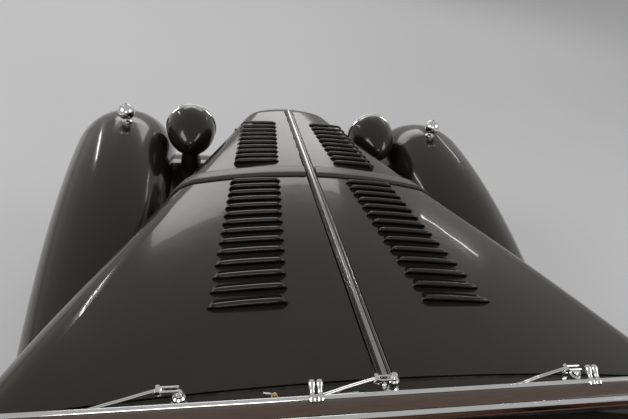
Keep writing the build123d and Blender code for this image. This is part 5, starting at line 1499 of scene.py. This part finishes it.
class ROADSTER_OT_engine(bpy.types.Operator):
    """Dresses the engine block's place: crankcase, block, head, cover, carburettors, manifold,
    leads and fan"""

    bl_idname = "roadster.engine"
    bl_label = "Engine"

    FRONT, REAR = at(-330), at(-970)

    def casting(self):
        iron, alloy, dark = Shape(), Shape(), Shape()
        middle, length = (self.FRONT + self.REAR) / 2, self.FRONT - self.REAR
        iron.slab((middle, 0, 0.560), (length - 0.020, 0.196, 0.250))
        iron.slab((middle, 0, 0.700), (length - 0.050, 0.150, 0.060))
        for z in (0.676, 0.690, 0.704, 0.718):
            iron.slab((middle, 0, z), (length - 0.044, 0.160, 0.005))
        for n in range(6):
            x = self.REAR + 0.075 + n * 0.098
            iron.slab((x, -0.094, 0.600), (0.060, 0.024, 0.100))
            iron.slab((x + 0.049, 0.0, 0.470), (0.010, 0.212, 0.060))
        alloy.slab((middle, 0, 0.382), (length - 0.006, 0.214, 0.148))
        for n in range(9):
            alloy.slab((self.REAR + 0.060 + n * 0.065, 0, 0.350), (0.008, 0.220, 0.080))
        alloy.slab((middle, 0, 0.448), (length, 0.220, 0.012))
        cover = np.array([(-0.060, 0.0), (0.060, 0.0), (0.060, 0.048), (0.052, 0.070), (0.030, 0.084), (-0.030, 0.084), (-0.052, 0.070), (-0.060, 0.048)])
        alloy.grid(carried(np.array([[self.REAR + 0.030, 0, 0.730], [self.FRONT - 0.030, 0, 0.730]]), cover))
        for x in np.linspace(self.REAR + 0.07, self.FRONT - 0.07, 5):
            dark.turn([(0.0, 0.0), (0.0, 0.011), (0.008, 0.011), (0.010, 0.006), (0.016, 0.006), (0.016, 0.0)], (x, 0, 0.814), (0, 0, 1), 6)
        iron.piece("engine_block", "chassis", finish("iron"), "engine_grey", ["engine"], bevel=0.004)
        alloy.piece("engine_castings", "chassis", finish("alloy"), "engine_grey", bevel=0.003)
        dark.piece("engine_nuts", "chassis", finish("chrome"), "engine_grey", flat=True)

    def services(self):
        alloy, hot, hose = Shape(), Shape(), Shape()
        for x in (self.REAR + 0.17, self.REAR + 0.45):
            alloy.turn([(0.0, 0.0), (0.0, 0.030), (0.060, 0.030), (0.066, 0.024), (0.070, 0.016), (0.090, 0.014), (0.092, 0.0)], (x, 0.115, 0.600), (0, 0, 1), 36)
            alloy.turn([(-0.030, 0.0), (-0.030, 0.024), (0.034, 0.024), (0.040, 0.034), (0.046, 0.034), (0.048, 0.0)], (x, 0.110, 0.690), (0, 1, 0), 32)
            alloy.turn([(0.0, 0.0), (0.0, 0.024), (0.050, 0.022), (0.052, 0.0)], (x + 0.052, 0.115, 0.610), (0, 0, 1), 28)
        log = smooth_line([(self.REAR + 0.05, -0.118, 0.640), (self.REAR + 0.30, -0.122, 0.640), (self.FRONT - 0.08, -0.118, 0.636)], 20)
        hot.tube(log, 0.024, 20)
        for n in range(6):
            x = self.REAR + 0.075 + n * 0.098
            hot.tube(smooth_line([(x, -0.080, 0.664), (x, -0.105, 0.660), (x, -0.120, 0.645)], 10), 0.016, 14, up=(1, 0, 0))
        down = [(self.REAR + 0.09, -0.122, 0.640), (self.REAR + 0.03, -0.135, 0.520), (self.REAR + 0.02, -0.165, 0.380), (at(-1010), -0.196, 0.262), (at(-1080), -0.200, 0.224)]
        hot.tube(smooth_line(down, 40), 0.0235, 20, up=(0, 1, 0))
        alloy.turn([(0.0, 0.0), (0.0, 0.024), (0.040, 0.026), (0.060, 0.034), (0.078, 0.030), (0.084, 0.0)], (self.REAR + 0.02, 0.066, 0.735), (0, 0, 1), 32)
        start = np.array([self.REAR + 0.02, 0.066, 0.818])
        for n in range(6):
            x = self.REAR + 0.075 + n * 0.098
            plug = np.array([x, 0.073, 0.742])
            arch = smooth_line([start + [0.004 * n, 0, 0], start + [0.06 + 0.05 * n, 0.028 + 0.002 * n, 0.006], plug + [0, 0.012, 0.040], plug], 26)
            hose.tube(arch, 0.0032, 8, up=(0, 1, 0))
            alloy.turn([(-0.014, 0.0), (-0.014, 0.008), (-0.006, 0.008), (-0.004, 0.005), (0.012, 0.004), (0.012, 0.0)], plug, (0, 0.2, 1), 12)
        hose.tube(smooth_line([(self.FRONT - 0.04, 0, 0.800), (self.FRONT + 0.035, 0, 0.812), (self.FRONT + 0.100, 0.0, 0.790)], 16), 0.021, 18, up=(0, 1, 0))
        hose.tube(smooth_line([(self.FRONT - 0.01, -0.06, 0.480), (self.FRONT + 0.050, -0.075, 0.450), (self.FRONT + 0.100, -0.080, 0.440)], 16), 0.019, 18, up=(0, 1, 0))
        alloy.turn([(0.0, 0.0), (0.0, 0.075), (0.006, 0.078), (0.012, 0.072), (0.018, 0.078), (0.022, 0.075), (0.022, 0.0)], (self.FRONT - 0.002, 0, 0.430), (1, 0, 0), 40)
        alloy.turn([(0.0, 0.0), (0.0, 0.045), (0.030, 0.045), (0.036, 0.020), (0.040, 0.0)], (self.FRONT - 0.002, 0, 0.640), (1, 0, 0), 36)
        for k in range(5):
            turn = Matrix.Rotation(radians(72 * k), 3, "X") @ Matrix.Rotation(radians(24), 3, "Z")
            offset = np.array(Matrix.Rotation(radians(72 * k), 3, "X") @ Vector((0, 0, 0.085)))
            alloy.slab(np.array([self.FRONT + 0.040, 0, 0.640]) + offset, (0.004, 0.046, 0.110), turn)
        alloy.piece("engine_fittings", "chassis", finish("alloy"), "engine_grey")
        hot.piece("exhaust_manifold", "chassis", finish("exhaust"), "exhaust_steel")
        hose.piece("engine_hoses", "chassis", finish("hose"), "engine_grey")

    def execute(self, context):
        self.casting()
        self.services()
        return {"FINISHED"}


class ROADSTER_OT_underside(bpy.types.Operator):
    """Fits lever dampers, their bolts and the cockpit's rear lining"""

    bl_idname = "roadster.underside"
    bl_label = "Chassis details"

    def execute(self, context):
        dark, chrome = Shape(), Shape()
        for x, y, z, reach, drop in ((at(-110), 0.345, 0.335, 0.090, 0.0), (at(-2620), 0.352, 0.470, 0.170, -0.115)):
            dark.turn([(-0.014, 0.0), (-0.014, 0.052), (0.010, 0.052), (0.016, 0.044), (0.020, 0.020), (0.026, 0.018), (0.028, 0.0)], (x, y, z), (0, 1, 0), 40)
            arm = smooth_line([(x, y + 0.026, z), (x + reach * 0.5, y + 0.028, z + 0.004), (x + reach, y + 0.030, z)], 12)
            dark.tube(arm, 0.010, 12, up=(0, 1, 0))
            if drop:
                dark.tube(np.linspace(arm[-1], arm[-1] + [0.0, 0.010, drop], 2), 0.007, 12, up=(0, 1, 0))
                dark.turn([(-0.012, 0.0), (-0.012, 0.013), (0.012, 0.013), (0.012, 0.0)], arm[-1] + [0.0, 0.010, drop], (0, 1, 0), 20)
            for angle in range(0, 360, 60):
                a = radians(angle)
                chrome.turn([(0.0, 0.0), (0.0, 0.005), (0.004, 0.005), (0.004, 0.0)], (x + 0.036 * cos(a), y + 0.014, z + 0.036 * sin(a)), (0, 1, 0), 6)
        dark.mirrored().piece("lever_dampers", "chassis", finish("chassis"), "chassis_black")
        chrome.mirrored().piece("damper_bolts", "chassis", finish("chrome"), "chassis_black", flat=True)
        lining = Shape()
        top, band, under, _ = pillow(0.185, 0.580, 0.004, 0.003, 0.001, 20, 0.002, samples=(30, 220))
        turn = np.array([[0, 0, 1.0], [0, 1, 0], [1, 0, 0]])
        for grid, wrap, ends in ((top, False, True), (band, True, False), (under, False, True)):
            lining.grid(grid @ turn.T + [at(-2176), 0, 0.640], wrap_v=wrap, ends=ends)
        lining.piece("rear_lining", "chassis", finish("leather"), "leather")
        return {"FINISHED"}


class ROADSTER_PT_panel(bpy.types.Panel):
    """Roadster tools in the sidebar"""

    bl_label = "Roadster"
    bl_idname = "ROADSTER_PT_panel"
    bl_space_type = "VIEW_3D"
    bl_region_type = "UI"
    bl_category = "Roadster"

    def draw(self, context):
        for name in RoadsterSettings.__annotations__:
            self.layout.prop(context.scene.roadster, name)
        for operator in OPERATORS:
            self.layout.operator(operator.bl_idname)


OPERATORS = (
    ROADSTER_OT_stage,
    ROADSTER_OT_finishes,
    ROADSTER_OT_bonnet,
    ROADSTER_OT_lamps,
    ROADSTER_OT_windscreen,
    ROADSTER_OT_wheels,
    ROADSTER_OT_strap,
    ROADSTER_OT_seats,
    ROADSTER_OT_cockpit,
    ROADSTER_OT_nose,
    ROADSTER_OT_trim,
    ROADSTER_OT_engine,
    ROADSTER_OT_underside,
)
CLASSES = (RoadsterSettings, *OPERATORS, ROADSTER_PT_panel)


def register():
    for item in CLASSES:
        bpy.utils.register_class(item)
    bpy.types.Scene.roadster = PointerProperty(type=RoadsterSettings)


def unregister():
    del bpy.types.Scene.roadster
    for item in reversed(CLASSES):
        bpy.utils.unregister_class(item)


def corners(box):
    """The two corners of a box as plain lists."""
    return [list(map(float, corner)) for corner in box]


def main():
    """Builds every piece."""
    register()
    for operator in OPERATORS:
        group, name = operator.bl_idname.split(".")
        getattr(getattr(bpy.ops, group), name)()


if __name__ == "__main__":
    main()
